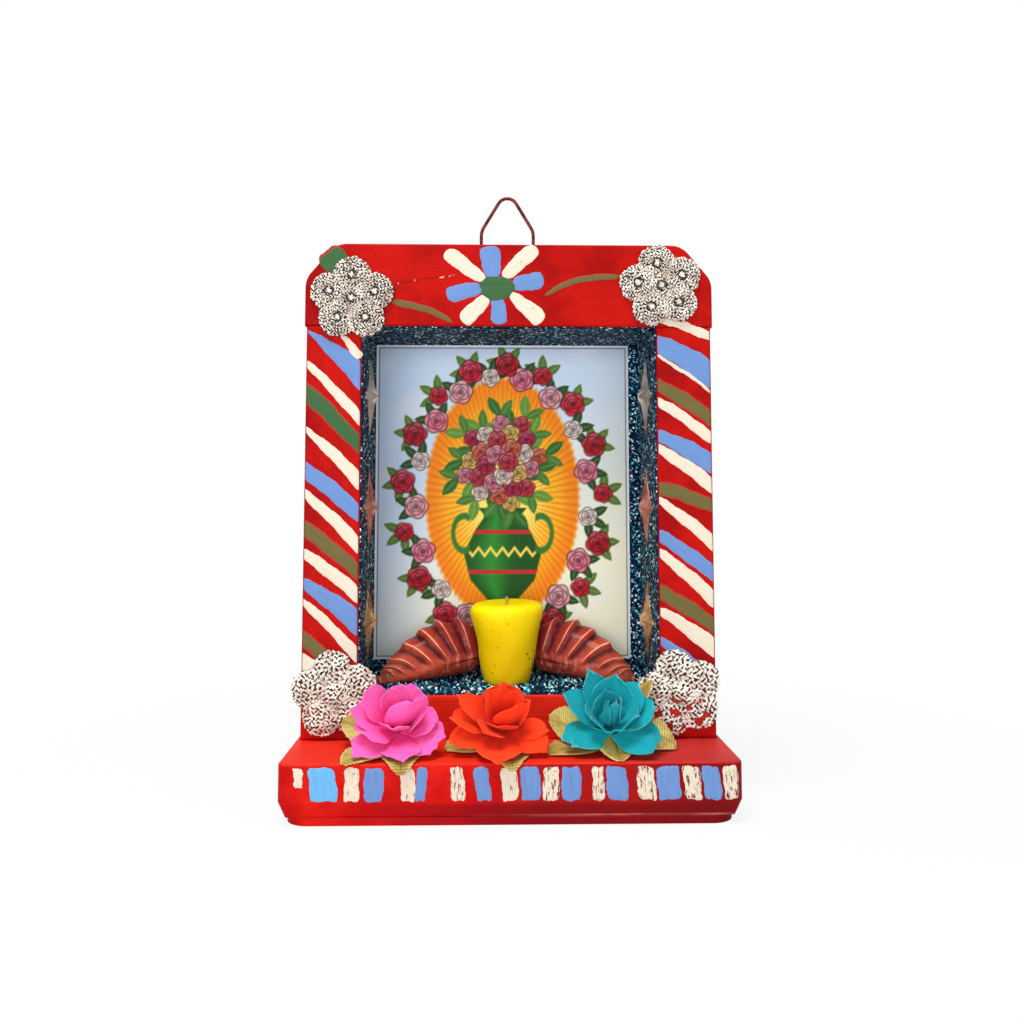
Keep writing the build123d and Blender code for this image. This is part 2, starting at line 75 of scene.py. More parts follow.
def linear(screen):
    """Screen colours of 0 to 255 as the linear colours that a shader takes, by the standard screen curve."""
    share = np.clip(np.asarray(screen) / 255, 0, 1)
    return np.where(share <= 0.04045, share / 12.92, ((share + 0.055) / 1.055) ** 2.4)


def tint(*screen):
    """One screen colour as a shader's colour, with full cover."""
    return (*linear(screen).tolist(), 1.0)


# Reds from deep to bright, two copies of one red paint: the frame's is a little darker, as painted shade, and
# the shelf's brighter, as painted light, for how the light falls on each
SHADED_FRAME_REDS = (tint(142, 5, 7), tint(170, 7, 5), tint(186, 18, 9))
LIT_SHELF_REDS = (tint(178, 7, 9), tint(200, 13, 8), tint(216, 30, 18))
BLUE = tint(104, 140, 196)
CREAM = tint(226, 215, 197)
GREEN = tint(48, 94, 50)
OLIVE = tint(104, 96, 46)


# Camera and light

def make_camera():
    """The viewer stands a little left of the box and level with its middle. The lens was fitted to the box's
    corners in the picture, so its axis lies above the middle of the picture and the shift takes that up."""
    lens_pixels = 971.05
    picture = 1024
    axis_row = 420.0
    sensor = 36.0
    pitch = math.radians(4.42)
    yaw = math.radians(1.32)
    data = bpy.data.cameras.new("camera")
    data.sensor_width = sensor
    data.lens = sensor * lens_pixels / picture
    data.shift_y = (axis_row - picture / 2) / picture
    data.clip_start = 0.01
    data.clip_end = 20.0
    camera = bpy.data.objects.new("camera", data)
    camera.location = (-0.0068, -0.3391, 0.1007)
    camera.rotation_euler = (math.pi / 2 + pitch, 0.0, -yaw)
    bpy.context.scene.collection.objects.link(camera)
    bpy.context.scene.camera = camera


def make_lamp(name, place, size, power):
    """A square soft lamp that faces the middle of the box."""
    data = bpy.data.lights.new(name, "AREA")
    data.shape = "SQUARE"
    data.size = size
    data.energy = power
    lamp = bpy.data.objects.new(name, data)
    aim = np.array(BOX_MIDDLE) - np.array(place)
    lamp.location = place
    lamp.rotation_euler = (
        math.atan2(math.hypot(aim[0], aim[1]), -aim[2]),
        0.0,
        math.atan2(-aim[0], aim[1]),
    )
    bpy.context.scene.collection.objects.link(lamp)


BOX_MIDDLE = (0.0, 0.0, 0.1)
make_camera()
make_lamp("key", (-0.32, -0.90, 0.16), 0.40, 3.4)
make_lamp("fill", (0.32, -0.92, 0.12), 0.45, 2.2)
make_lamp("top", (-0.12, -0.26, 0.88), 0.40, 6.8)
bpy.context.scene.view_settings.view_transform = "Standard"


# Finishes

class Signal:
    """A value in a shader. Its operators add Math nodes to the same finish."""

    def __init__(self, finish, socket):
        self.finish = finish
        self.socket = socket

    def math(self, operation, *others):
        inputs = dict(enumerate((self, *others)))
        return self.finish.node("ShaderNodeMath", {"operation": operation}, inputs)

    def swapped(self, operation, other):
        return self.finish.node("ShaderNodeMath", {"operation": operation}, {0: other, 1: self})

    def __add__(self, other):
        return self.math("ADD", other)

    def __radd__(self, other):
        return self.swapped("ADD", other)

    def __sub__(self, other):
        return self.math("SUBTRACT", other)

    def __rsub__(self, other):
        return self.swapped("SUBTRACT", other)

    def __mul__(self, other):
        return self.math("MULTIPLY", other)

    def __rmul__(self, other):
        return self.swapped("MULTIPLY", other)


class Finish:
    """One material, written as expressions on its sockets."""

    def __init__(self, name, tree=None):
        if tree is None:
            self.material = bpy.data.materials.new(name)
            self.material.use_nodes = True
            tree = self.material.node_tree
        self.tree = tree
        self.tree.nodes.clear()

    def node(self, kind, settings=None, sockets=None, output=0):
        """A node of this kind: its settings first, then the values or links of its sockets."""
        made = self.tree.nodes.new(kind)
        for key, value in (settings or {}).items():
            if key == "stops":
                ramp = made.color_ramp
                while len(ramp.elements) < len(value):
                    ramp.elements.new(1.0)
                for element, (place, colour) in zip(ramp.elements, value):
                    element.position = place
                    element.color = colour
            else:
                setattr(made, key, value)
        for key, value in (sockets or {}).items():
            if isinstance(value, Signal):
                self.tree.links.new(value.socket, made.inputs[key])
            else:
                made.inputs[key].default_value = value
        return Signal(self, made.outputs[output]) if made.outputs else made

    def place(self, stretch=(1, 1, 1), turn=(0, 0, 0)):
        """Object coordinates, stretched and turned."""
        spot = self.node("ShaderNodeTexCoord", output="Object")
        return self.node("ShaderNodeMapping", {}, {"Vector": spot, "Scale": stretch, "Rotation": turn})

    def at(self, axis):
        """One object coordinate, in metres."""
        return self.part(self.place(), axis)

    def along(self, stretch=(1, 1, 1)):
        """The piece's own UV map, stretched."""
        spot = self.node("ShaderNodeTexCoord", output="UV")
        return self.node("ShaderNodeMapping", {}, {"Vector": spot, "Scale": stretch})

    def noise(self, where, scale, detail=3.0, rough=0.5):
        """Smooth noise of about 0.3 to 0.7."""
        return self.node(
            "ShaderNodeTexNoise", {}, {"Vector": where, "Scale": scale, "Detail": detail, "Roughness": rough}
        )

    def cells(self, where, scale):
        """Random cells, each of a colour of its own."""
        return self.node("ShaderNodeTexVoronoi", {}, {"Vector": where, "Scale": scale}, "Color")

    def span(self, value, low, high):
        """0 below the low value, 1 above the high one and smooth between them."""
        return self.node(
            "ShaderNodeMapRange",
            {"interpolation_type": "SMOOTHSTEP"},
            {"Value": value, "From Min": low, "From Max": high},
        )

    def mix(self, factor, first, second, blend="MIX"):
        """A colour between two."""
        return self.node(
            "ShaderNodeMix", {"data_type": "RGBA", "blend_type": blend}, {0: factor, 6: first, 7: second}, 2
        )

    def ramp(self, value, stops):
        """A colour by value."""
        return self.node("ShaderNodeValToRGB", {"stops": stops}, {"Fac": value})

    def part(self, vector, axis):
        """One coordinate of a vector."""
        return self.node("ShaderNodeSeparateXYZ", {}, {0: vector}, axis)

    def attribute(self, name):
        """A colour that is stored on the mesh."""
        return self.node("ShaderNodeAttribute", {"attribute_name": name}, {}, "Color")

    def bump(self, height, distance, strength=1.0):
        """A normal that follows a height."""
        return self.node(
            "ShaderNodeBump", {}, {"Height": height, "Distance": distance, "Strength": strength}
        )

    def surface(self, **sockets):
        """The finished surface. Underscores in a socket's name stand for spaces."""
        named = {key.replace("_", " "): value for key, value in sockets.items()}
        shader = self.node("ShaderNodeBsdfPrincipled", {}, named)
        self.node("ShaderNodeOutputMaterial", {}, {"Surface": shader})
        return self.material


def rail_crack(f, coat):
    """A hairline crack in the left half of the rail, with pale chips along it."""
    left, right, level, climb = -0.0395, -0.02, 0.1738, 0.16
    x = f.at("X")
    shake = (f.noise(f.place(), 160.0, 3.0) - 0.5) * 0.004
    off = (f.at("Z") - level - (x - left) * climb + shake).math("ABSOLUTE")
    within = f.span(x, left - 0.001, left + 0.001) * f.span(x, right + 0.0015, right - 0.0015)
    flecks = f.span(f.noise(f.place(), 420.0, 2.0), 0.55, 0.6)
    coat = f.mix(f.span(off, 0.00026, 0.00012) * within * 0.6, coat, tint(96, 4, 8))
    return f.mix(f.span(off, 0.0004, 0.0002) * within * flecks * 0.9, coat, tint(232, 170, 150))


def shelf_painted_light(f, coat):
    """Painted light and shade on the shelf. Its top, and the floor board above it, take a painted sheen,
    bright orange-red on the left and greyish red on the right; its front takes painted shade to crimson past
    the middle, its lower edge a deeper painted shade, and the edge of its bevel a pale painted highlight."""
    x = f.at("X")
    z = f.at("Z")
    top = f.span(z, 0.0182, 0.0188)
    low = f.span(z, 0.0074, 0.0058)
    bevel_edge = 0.0028
    right = f.span(x, -0.012, 0.012) * 0.65 + f.span(x, 0.03, 0.06) * 0.25
    # Painted sheen on the shelf's top and the floor board, bright at the left and greyish at the right
    top_sheen = f.mix(f.span(x, 0.01, 0.05), tint(250, 60, 36), tint(170, 58, 58))
    coat = f.mix(top * 0.5, coat, top_sheen)
    # Painted shade on the lower band, which faces down, growing from the left end to the middle
    coat = f.mix(low * f.span(x, -0.062, 0.0) * 0.75, coat, tint(128, 8, 22))
    # Painted shade on the front, growing past the middle towards the right
    coat = f.mix(right * (1 - top), coat, tint(112, 10, 16))
    # Painted highlight along the bevel's lower edge, broken up by noise
    bevel_highlight = f.span((z - bevel_edge).math("ABSOLUTE"), 0.0005, 0.0002) * f.span(x, -0.02, 0.03)
    patchy = f.span(f.noise(f.place((0.3, 1, 1)), 300.0, 3.0), 0.4, 0.6)
    return f.mix(bevel_highlight * (0.25 + patchy * 0.4), coat, tint(214, 120, 108))


def red_enamel(name, stretch, reds, marks_and_light=None):
    """Brushed red enamel: long brush streaks along the board, cloudy patches, dark pin holes and small chips
    down to the pale wood, with a board's own marks on top: the rail's crack, and the shelf's painted light
    and shade."""
    f = Finish(name)
    deep, plain, bright = reds
    streaks = f.noise(f.place(stretch), 900.0, 4.0, 0.6)
    clouds = f.noise(f.place(), 34.0, 4.0, 0.6)
    pits = f.span(f.noise(f.place(), 900.0, 2.0), 0.68, 0.74)
    chips = f.span(f.noise(f.place(), 260.0, 5.0, 0.7), 0.735, 0.75)
    coat = f.mix(f.span(clouds, 0.36, 0.64), deep, bright)
    coat = f.mix(f.span(streaks, 0.35, 0.7) * 0.35, coat, plain)
    coat = f.mix(pits * 0.6, coat, tint(110, 8, 12))
    coat = f.mix(chips, coat, tint(196, 150, 110))
    if marks_and_light:
        coat = marks_and_light(f, coat)
    relief = streaks * 0.7 + clouds * 0.3 - chips * 0.5 - pits * 0.4
    return f.surface(
        Base_Color=coat,
        Roughness=0.38 + streaks * 0.2 + chips * 0.3,
        Specular_IOR_Level=0.05,
        Normal=f.bump(relief, 0.0006, 0.5),
    )


def brush_paint(name, colour, shade, bare, soft=0.0):
    """A brush stroke: streaks along the stroke, bare scratches down to the red ground, and where soft is set
    thin sides through which the red shows."""
    f = Finish(name)
    streaks = f.noise(f.along((0.35, 5.0, 1.0)), 3.0, 4.0, 0.65)
    flecks = f.noise(f.along((1.1, 1.9, 1.0)), 3.2, 4.0, 0.65)
    scratched = f.span(flecks * 0.6 + streaks * 0.4, 0.66 - bare, 0.69 - bare)
    coat = f.mix(f.span(streaks, 0.3, 0.7), shade, colour)
    coat = f.mix(scratched, coat, tint(120, 40, 34))
    if soft:
        across = f.part(f.along(), "Y")
        side = (across - 0.5).math("ABSOLUTE") + (streaks - 0.5) * 0.3
        coat = f.mix(f.span(side, 0.5 - soft, 0.5), coat, SHADED_FRAME_REDS[1])
    return f.surface(
        Base_Color=coat,
        Roughness=0.42 + streaks * 0.2,
        Specular_IOR_Level=0.25,
        Normal=f.bump(streaks * 0.6 - scratched * 0.6, 0.0004, 0.6),
    )


def plywood(name):
    """Bare thin plywood: long grain, growth bands, dark flecks and a few brown stains."""
    f = Finish(name)
    bend = f.noise(f.place((1, 1, 0.25)), 22.0, 2.0)
    grain = f.noise(f.place((1.0, 1.0, 0.03)), 1500.0, 3.0, 0.6)
    bands = f.noise(f.place((1.0, 1.0, 0.05)), 160.0, 2.0)
    flecks = f.span(f.noise(f.place((1.0, 1.0, 0.12)), 1100.0, 2.0), 0.66, 0.74)
    wood = f.mix(f.span(bands * 0.7 + bend * 0.3, 0.38, 0.62), tint(186, 146, 100), tint(214, 180, 134))
    wood = f.mix(f.span(grain, 0.4, 0.7) * 0.45, wood, tint(150, 108, 68))
    wood = f.mix(flecks * 0.6, wood, tint(96, 62, 38))
    return f.surface(
        Base_Color=wood, Roughness=0.62 + grain * 0.2, Normal=f.bump(grain - flecks * 0.5, 0.0004, 0.5)
    )


def glitter_card(name):
    """Dark card under glitter: random flakes of navy, teal and cyan, each tilted its own way."""
    f = Finish(name)
    flake = f.cells(f.place(), 1500.0)
    pick = f.part(flake, "X")
    gleam = f.part(flake, "Y")
    colour = f.ramp(
        pick,
        [
            (0.0, tint(4, 14, 44)),
            (0.66, tint(8, 32, 62)),
            (0.82, tint(10, 76, 104)),
            (0.93, tint(60, 168, 190)),
            (0.98, tint(230, 248, 250)),
        ],
    )
    return f.surface(
        Base_Color=colour,
        Roughness=0.45 + gleam * 0.3,
        Specular_IOR_Level=0.04,
        Normal=f.bump(f.part(flake, "Z"), 0.0006, 0.7),
    )


def glitter_flakes(name):
    """Loose flakes of foil, each with its own colour from the mesh."""
    f = Finish(name)
    return f.surface(Base_Color=f.attribute("foil"), Metallic=0.1, Roughness=0.45, Specular_IOR_Level=0.1)


def printed_card(name):
    """A glossy print: the ink is stored on the mesh, under a thin varnish with faint ripples."""
    f = Finish(name)
    ripple = f.noise(f.place((1, 1, 0.4)), 45.0, 2.0)
    dots = f.noise(f.place(), 2600.0, 1.0)
    ink = f.mix(f.span(dots, 0.35, 0.65) * 0.05, f.attribute("ink"), tint(60, 56, 70))
    return f.surface(
        Base_Color=ink,
        Roughness=0.36 + ripple * 0.15,
        Specular_IOR_Level=0.1,
        Normal=f.bump(ripple, 0.0008, 0.25),
    )


def tin(name, shine, stain):
    """Pressed tin: a bright colour with stains of tarnish and fine pale scratches along the points."""
    f = Finish(name)
    scratches = f.noise(f.place((1.0, 0.4, 0.15)), 1800.0, 2.0)
    tarnish = f.noise(f.place(), 130.0, 3.0)
    metal = f.mix(f.span(tarnish, 0.4, 0.62), shine, stain)
    metal = f.mix(f.span(scratches, 0.5, 0.7) * 0.4, metal, tint(236, 220, 200))
    return f.surface(
        Base_Color=metal, Metallic=0.3, Roughness=0.3 + tarnish * 0.25, Normal=f.bump(scratches, 0.0002, 0.4)
    )


def candle_wax(name):
    """Yellow wax: clear and bright at the rim, warmer towards the foot, with soot specks, soft dents and a
    painted olive shade down its right side, deeper at the foot.
    """
    f = Finish(name)
    height = f.at("Z")
    low = f.span(height, (NICHE_FLOOR + 24) * MM, (NICHE_FLOOR + 1) * MM)
    side = f.span(f.at("X"), 0.002, 0.011)
    clouds = f.noise(f.place(), 160.0, 3.0)
    crowd = f.noise(f.place(), 110.0, 2.0)
    near = (crowd - 0.5) * 0.3 + side * 0.05 + low * 0.015
    specks = f.span(f.noise(f.place(), 900.0, 2.0, 0.4) + near, 0.72, 0.745)
    wax = f.mix(clouds * 0.5, tint(255, 224, 0), tint(253, 206, 0))
    wax = f.mix(low * 0.6, wax, tint(254, 184, 0))
    # Painted shade: an olive tone down the right side, deeper towards the foot
    wax = f.mix(side * (0.15 + low * 0.3), wax, tint(200, 184, 30))
    wax = f.mix(specks * (0.5 + low * 0.45), wax, tint(70, 50, 16))
    return f.surface(
        Base_Color=wax,
        Roughness=0.42 + clouds * 0.15,
        Specular_IOR_Level=0.15,
        Subsurface_Weight=0.8,
        Subsurface_Radius=(0.008, 0.006, 0.002),
        Subsurface_Scale=0.8,
        Normal=f.bump(clouds - specks * 0.4, 0.001, 0.4),
    )


def crust(name):
    """Varnished brown clay with painted shade in the grooves and a painted highlight along the ribs, plum red
    towards the blunt end, and pale painted reflections streaked on the sole."""
    f = Finish(name)
    ridge = f.part(f.attribute("ridge"), "X")
    along = f.part(f.attribute("ridge"), "Y")
    sole = 1 - f.part(f.attribute("ridge"), "Z")
    clouds = f.noise(f.place(), 240.0, 4.0, 0.6)
    streaks = f.span(f.noise(f.place((1, 1, 0.2)), 620.0, 2.0), 0.5, 0.66)
    grit = f.noise(f.place(), 1400.0, 3.0)
    # The ridge value runs from painted shade in the grooves to a painted highlight on the crests
    clay = f.ramp(
        ridge + (clouds - 0.5) * 0.5,
        [
            (0.0, tint(46, 6, 8)),
            (0.25, tint(112, 24, 18)),
            (0.55, tint(192, 70, 46)),
            (0.8, tint(228, 112, 84)),
            (1.0, tint(255, 212, 192)),
        ],
    )
    clay = f.mix(f.span(along, 0.6, 0.1) * 0.5, clay, tint(98, 22, 40))
    clay = f.mix(f.span(along, 0.6, 1.0) * 0.35, clay, tint(208, 108, 82))
    # Painted reflections: pale streaks on the sole towards the blunt end
    clay = f.mix(streaks * sole * f.span(along, 0.75, 0.3) * 0.55, clay, tint(240, 140, 130))
    clay = f.mix(f.span(grit, 0.55, 0.75) * 0.35, clay, tint(70, 26, 22))
    return f.surface(
        Base_Color=clay,
        Roughness=0.26 + clouds * 0.2,
        Specular_IOR_Level=0.1,
        Coat_Weight=0.16,
        Coat_Roughness=0.08,
        Normal=f.bump(clouds * 0.6 + grit * 0.4, 0.0011, 0.6),
    )


def petal_cloth(name, face, heart, edge, fray):
    """Stiffened cloth: a fine plain weave, the heart colour at the root, partly dye and partly painted light
    and shade where the petals close in, and a lighter cut edge.
    """
    f = Finish(name)
    root = f.part(f.along(), "Y")
    side = (f.part(f.along(), "X") - 0.5).math("ABSOLUTE")
    warp = f.part(f.along((210.0, 1, 1)), "X").math("SINE")
    weft = f.part(f.along((1, 230.0, 1)), "Y").math("SINE")
    creases = f.noise(f.place(), 190.0, 3.0)
    mottle = f.noise(f.place(), 420.0, 3.0)
    # The root takes the heart colour: partly dye, partly painted shade, and painted light where the heart is
    # brighter
    cloth_tone = f.mix(f.span(root, 0.75, 0.2) * 0.85, face, heart)
    rim = f.span(root, 0.90, 1.0).math("MAXIMUM", f.span(side, 0.455, 0.5))
    cloth_tone = f.mix(rim * f.span(creases, 0.42, 0.6) * fray, cloth_tone, edge)
    cloth_tone = f.mix(f.span(mottle, 0.42, 0.66) * 0.16, cloth_tone, heart)
    weave = warp * weft
    return f.surface(
        Base_Color=cloth_tone,
        Roughness=0.8,
        Specular_IOR_Level=0.12,
        Sheen_Weight=0.05,
        Normal=f.bump(weave * 0.12 + creases, 0.0008, 0.5),
    )


def gauze(name):
    """Stiff gold-green gauze: open square mesh, a midrib and side veins, paler towards the edge."""
    f = Finish(name)
    across = f.part(f.along(), "X")
    along = f.part(f.along(), "Y")
    middle = (across - 0.5).math("ABSOLUTE")
    warp = f.span(f.part(f.along((100.0, 1, 1)), "X").math("SINE"), -0.3, 0.3)
    weft = f.span(f.part(f.along((1, 180.0, 1)), "Y").math("SINE"), -0.3, 0.3)
    thread = warp.math("MAXIMUM", weft)
    veins = f.span(((along - middle * 0.6) * 52.0).math("SINE"), 0.75, 0.95)
    rib = f.span(middle, 0.05, 0.02)
    clouds = f.noise(f.place(), 200.0, 2.0)
    leaf = f.mix(f.span(clouds, 0.35, 0.65), tint(184, 150, 66), tint(216, 200, 112))
    leaf = f.mix(f.span(middle, 0.3, 0.5) * 0.5, leaf, tint(232, 220, 150))
    leaf = f.mix((1 - thread) * 0.6, leaf, tint(110, 84, 34))
    leaf = f.mix((rib * 0.6).math("MAXIMUM", veins * 0.3), leaf, tint(140, 112, 40))
    solid = thread.math("MAXIMUM", rib.math("MAXIMUM", f.span(middle, 0.44, 0.48)))
    return f.surface(
        Base_Color=leaf,
        Roughness=0.55,
        Specular_IOR_Level=0.3,
        Alpha=0.4 + solid * 0.6,
        Normal=f.bump(thread + rib, 0.0004, 0.6),
    )


def silver_lace(name, thread, ground):
    """Plated lace: bright thread with a fine twist, painted shade in its hollows, towards its pads' rims and
    under its knots, and red paint behind the gaps."""
    f = Finish(name)
    hollow = f.part(f.attribute("relief"), "X")
    twist = f.noise(f.place(), 1300.0, 3.0, 0.6)
    clouds = f.noise(f.place(), 210.0, 2.0)
    # Painted shade where the thread lies low: in the hollows, towards the pads' rims and on the knots' far
    # sides
    dark = f.span(hollow + (twist - 0.5) * 0.7, 0.42, 0.12)
    metal = f.mix(f.span(clouds, 0.4, 0.66) * 0.4, thread, tint(164, 132, 112))
    behind = f.mix(f.part(f.attribute("relief"), "Y"), ground, SHADED_FRAME_REDS[2])
    metal = f.mix(dark, metal, behind)
    return f.surface(
        Base_Color=metal,
        Metallic=0.45 - dark * 0.35,
        Roughness=0.22 + dark * 0.4,
        Normal=f.bump(twist, 0.0012, 0.8),
    )


def steel(name, bright, stain):
    """Drawn metal: fine marks and stains."""
    f = Finish(name)
    stains = f.noise(f.place(), 420.0, 4.0, 0.6)
    marks = f.noise(f.place(), 2400.0, 2.0)
    metal = f.mix(f.span(stains, 0.42, 0.64), bright, stain)
    return f.surface(
        Base_Color=metal, Metallic=0.85, Roughness=0.3 + stains * 0.3, Normal=f.bump(marks, 0.0001, 0.4)
    )


def charred_wick(name):
    """Braided cotton, charred at its tip."""
    f = Finish(name)
    braid = f.noise(f.place((1, 1, 0.4)), 2200.0, 2.0)
    char = f.span(f.at("Z"), (NICHE_FLOOR + 29.5) * MM, (NICHE_FLOOR + 31) * MM)
    cotton = f.mix(f.span(braid, 0.4, 0.6), tint(205, 180, 90), tint(160, 130, 60))
    return f.surface(
        Base_Color=f.mix(char, cotton, tint(40, 30, 24)), Roughness=0.85, Normal=f.bump(braid, 0.0004, 0.8)
    )


def stem_cloth(name):
    """Green wrapped cloth under the petals."""
    f = Finish(name)
    wrap = f.noise(f.place((1, 1, 0.3)), 900.0, 3.0)
    cloth_tone = f.mix(f.span(wrap, 0.35, 0.65), tint(70, 96, 40), tint(110, 134, 60))
    return f.surface(Base_Color=cloth_tone, Roughness=0.7, Normal=f.bump(wrap, 0.0006, 0.6))


UPRIGHT = (1.0, 1.0, 0.05)
LEVEL = (0.05, 1.0, 1.0)
post_enamel = red_enamel("post_enamel", UPRIGHT, SHADED_FRAME_REDS)
rail_enamel = red_enamel("rail_enamel", LEVEL, SHADED_FRAME_REDS, rail_crack)
shelf_enamel = red_enamel("shelf_enamel", LEVEL, LIT_SHELF_REDS, shelf_painted_light)
paints = {
    "blue": brush_paint("blue_paint", BLUE, tint(92, 128, 184), 0.0),
    "sky": brush_paint("sky_paint", tint(104, 176, 226), tint(92, 160, 214), 0.0),
    "white": brush_paint("cream_paint", CREAM, tint(216, 202, 180), 0.03),
    "worn": brush_paint("worn_cream_paint", CREAM, tint(214, 198, 174), 0.085),
    "scratched": brush_paint("scratched_cream_paint", CREAM, tint(214, 198, 174), 0.13),
    "green": brush_paint("green_paint", GREEN, tint(44, 84, 42), 0.0, 0.2),
    "olive": brush_paint("olive_paint", OLIVE, tint(92, 82, 40), 0.0, 0.24),
}


# Mesh building

def lattice(rows, columns):
    """Two grids of shares from 0 to 1: the first grows with the rows, the second with the columns."""
    return np.meshgrid(np.linspace(0, 1, rows), np.linspace(0, 1, columns), indexing="ij")


def turn_lattice(rows, columns):
    """Shares down the rows, and angles round a closed ring of columns."""
    share, turn = np.meshgrid(
        np.linspace(0, 1, rows), np.arange(columns) * 2 * np.pi / columns, indexing="ij"
    )
    return share, turn


def weave_faces(rows, columns, closed=False, flip=False):
    """Four corner numbers for each cell of a grid. A closed grid joins its last column to its first."""
    row, column = np.meshgrid(
        np.arange(rows - 1), np.arange(columns if closed else columns - 1), indexing="ij"
    )
    after = (column + 1) % columns
    cell = [
        row * columns + column,
        row * columns + after,
        (row + 1) * columns + after,
        (row + 1) * columns + column,
    ]
    if flip:
        cell.reverse()
    return np.stack(cell, -1).reshape(-1, 4)


def tube_faces(rows, columns, flip=False):
    """The faces round a closed grid, and its first and last ring as caps."""
    first = np.arange(columns)
    last = first + (rows - 1) * columns
    caps = (first, last[::-1]) if flip else (first[::-1], last)
    return weave_faces(rows, columns, True, flip), caps


def triples(*grids):
    """Three grids of values as a row of three for each point: places or colours."""
    return np.stack(np.broadcast_arrays(*grids), -1).reshape(-1, 3)


def pairs(*grids):
    """Two grids of shares as a row of two for each point."""
    return np.stack(grids, -1).reshape(-1, 2)


def joined(shapes):
    """Shapes as one, with the faces renumbered. A shape has points, faces and maybe other values by point."""
    points, faces, *others = zip(*shapes)
    starts = np.cumsum([0] + [len(part) for part in points])
    faces = [part + start for part, start in zip(faces, starts)]
    return [np.concatenate(parts) for parts in (points, faces, *others)]


def add_piece(name, points, faces, material, stands_for=(), caps=(), uv=None, colour=None):
    """A mesh in place that rides on the box. Points are in millimetres, caps are extra faces with many
    corners, uv is a pair of shares for each point, and colour is a name with a colour for each point."""
    mesh = bpy.data.meshes.new(name)
    places = points.reshape(-1, 3) * MM
    mesh.from_pydata(places.tolist(), [], faces.tolist() + [cap.tolist() for cap in caps])
    mesh.polygons.foreach_set("use_smooth", np.ones(len(mesh.polygons), bool))
    if uv is not None:
        corner = np.empty(len(mesh.loops), np.int32)
        mesh.loops.foreach_get("vertex_index", corner)
        layer = mesh.uv_layers.new(name="UVMap")
        layer.data.foreach_set("uv", uv[corner].astype(np.float32).ravel())
    if colour is not None:
        key, values = colour
        store = mesh.color_attributes.new(key, "FLOAT_COLOR", "POINT")
        full = np.concatenate([values, np.ones((len(values), 1))], 1)
        store.data.foreach_set("color", full.astype(np.float32).ravel())
    mesh.materials.append(material)
    mesh.update()
    made = bpy.data.objects.new(name, mesh)
    bpy.context.scene.collection.objects.link(made)
    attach(made, "box")
    if stands_for:
        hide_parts(*stands_for)
    return made


def thicken(made, thickness, levels=0):
    """A wall on a sheet, and smoothing."""
    wall = made.modifiers.new("wall", "SOLIDIFY")
    wall.thickness = thickness * MM
    wall.offset = 0.0
    if levels:
        smooth = made.modifiers.new("smooth", "SUBSURF")
        smooth.levels = levels
        smooth.render_levels = levels


def ease(value, low, high):
    """0 below low, 1 above high, smooth between."""
    share = np.clip((value - low) / (high - low), 0, 1)
    return share * share * (3 - 2 * share)


def finish_node(material, *names):
    """A better material on CAD nodes whose shape stays."""
    for name in names:
        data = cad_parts[name].data
        data.materials.clear()
        data.materials.append(material)


# Boards, nails and wire keep their CAD shapes
finish_node(post_enamel, "left_post", "right_post")
finish_node(rail_enamel, "top_rail")
finish_node(shelf_enamel, "base_shelf", "floor_board")
finish_node(plywood("plywood"), "back_panel")
nail_steel = steel("nail_steel", tint(190, 188, 186), tint(112, 92, 80))
finish_node(nail_steel, "base_nails", "top_nails", "panel_brads")
finish_node(steel("lacquered_wire", tint(120, 44, 44), tint(66, 20, 26)), "hanger_loop")
finish_node(steel("staple_wire", tint(176, 172, 168), tint(96, 80, 72)), "hanger_staples")
finish_node(charred_wick("wick_cotton"), "candle_wick")
card = glitter_card("glitter_card")
finish_node(card, "lining_back", "lining_left", "lining_right", "lining_top", "lining_floor")


# Painted ornament

# How far a stroke's middle stands proud of the wood and its rim lies under it, and where the shelf's dabs end
PAINT_RISE = 0.16
PAINT_SINK = 0.05
DAB_TOP = 17.9
DAB_FOOT = 7.6
FIRST_DAB_FOOT = 12.0


def front_face(x, z):
    """Depth of the frame's front at this place, where the boards' softened edges fall back."""
    beside = np.minimum(np.abs(FRAME_SIDE - np.abs(x)), np.abs(np.abs(x) - OPENING_SIDE))
    on_post = z < CEILING
    near = np.where(on_post, beside, np.abs(RAIL_TOP - z))
    fall = np.clip(BOARD_SOFTENING - near, 0, BOARD_SOFTENING - 0.02)
    return FRONT + BOARD_SOFTENING - np.sqrt(BOARD_SOFTENING**2 - fall**2)


def shelf_face(x, z):
    """Depth of the shelf's front at this place, which falls back round its corners."""
    over = np.clip(np.abs(x) - (BASE_SIDE - BASE_CORNER), 0, BASE_CORNER - 0.05)
    return SHELF_FRONT + BASE_CORNER - np.sqrt(BASE_CORNER**2 - over**2)


def domed(x, z, along, across, face, run):
    """A domed stroke on a face: its rim lies just under the wood and its middle stands proud of it. run is
    how far along its streaks each place lies."""
    rim = (1 - (2 * across - 1) ** 4) * (1 - (2 * along - 1) ** 12)
    y = face(x, z) + PAINT_SINK - (PAINT_RISE + PAINT_SINK) * rim**0.5
    return triples(x, y, z), weave_faces(*x.shape), pairs(run, across)


def shaky(share, seed):
    """A hand-drawn edge: three sines with phases of their own, about a third of a millimetre."""
    phase = np.random.default_rng(seed).uniform(0, 6.28, 3)
    return (
        0.20 * np.sin(5.1 * share + phase[0])
        + 0.13 * np.sin(11.7 * share + phase[1])
        + 0.07 * np.sin(29.0 * share + phase[2])
    )


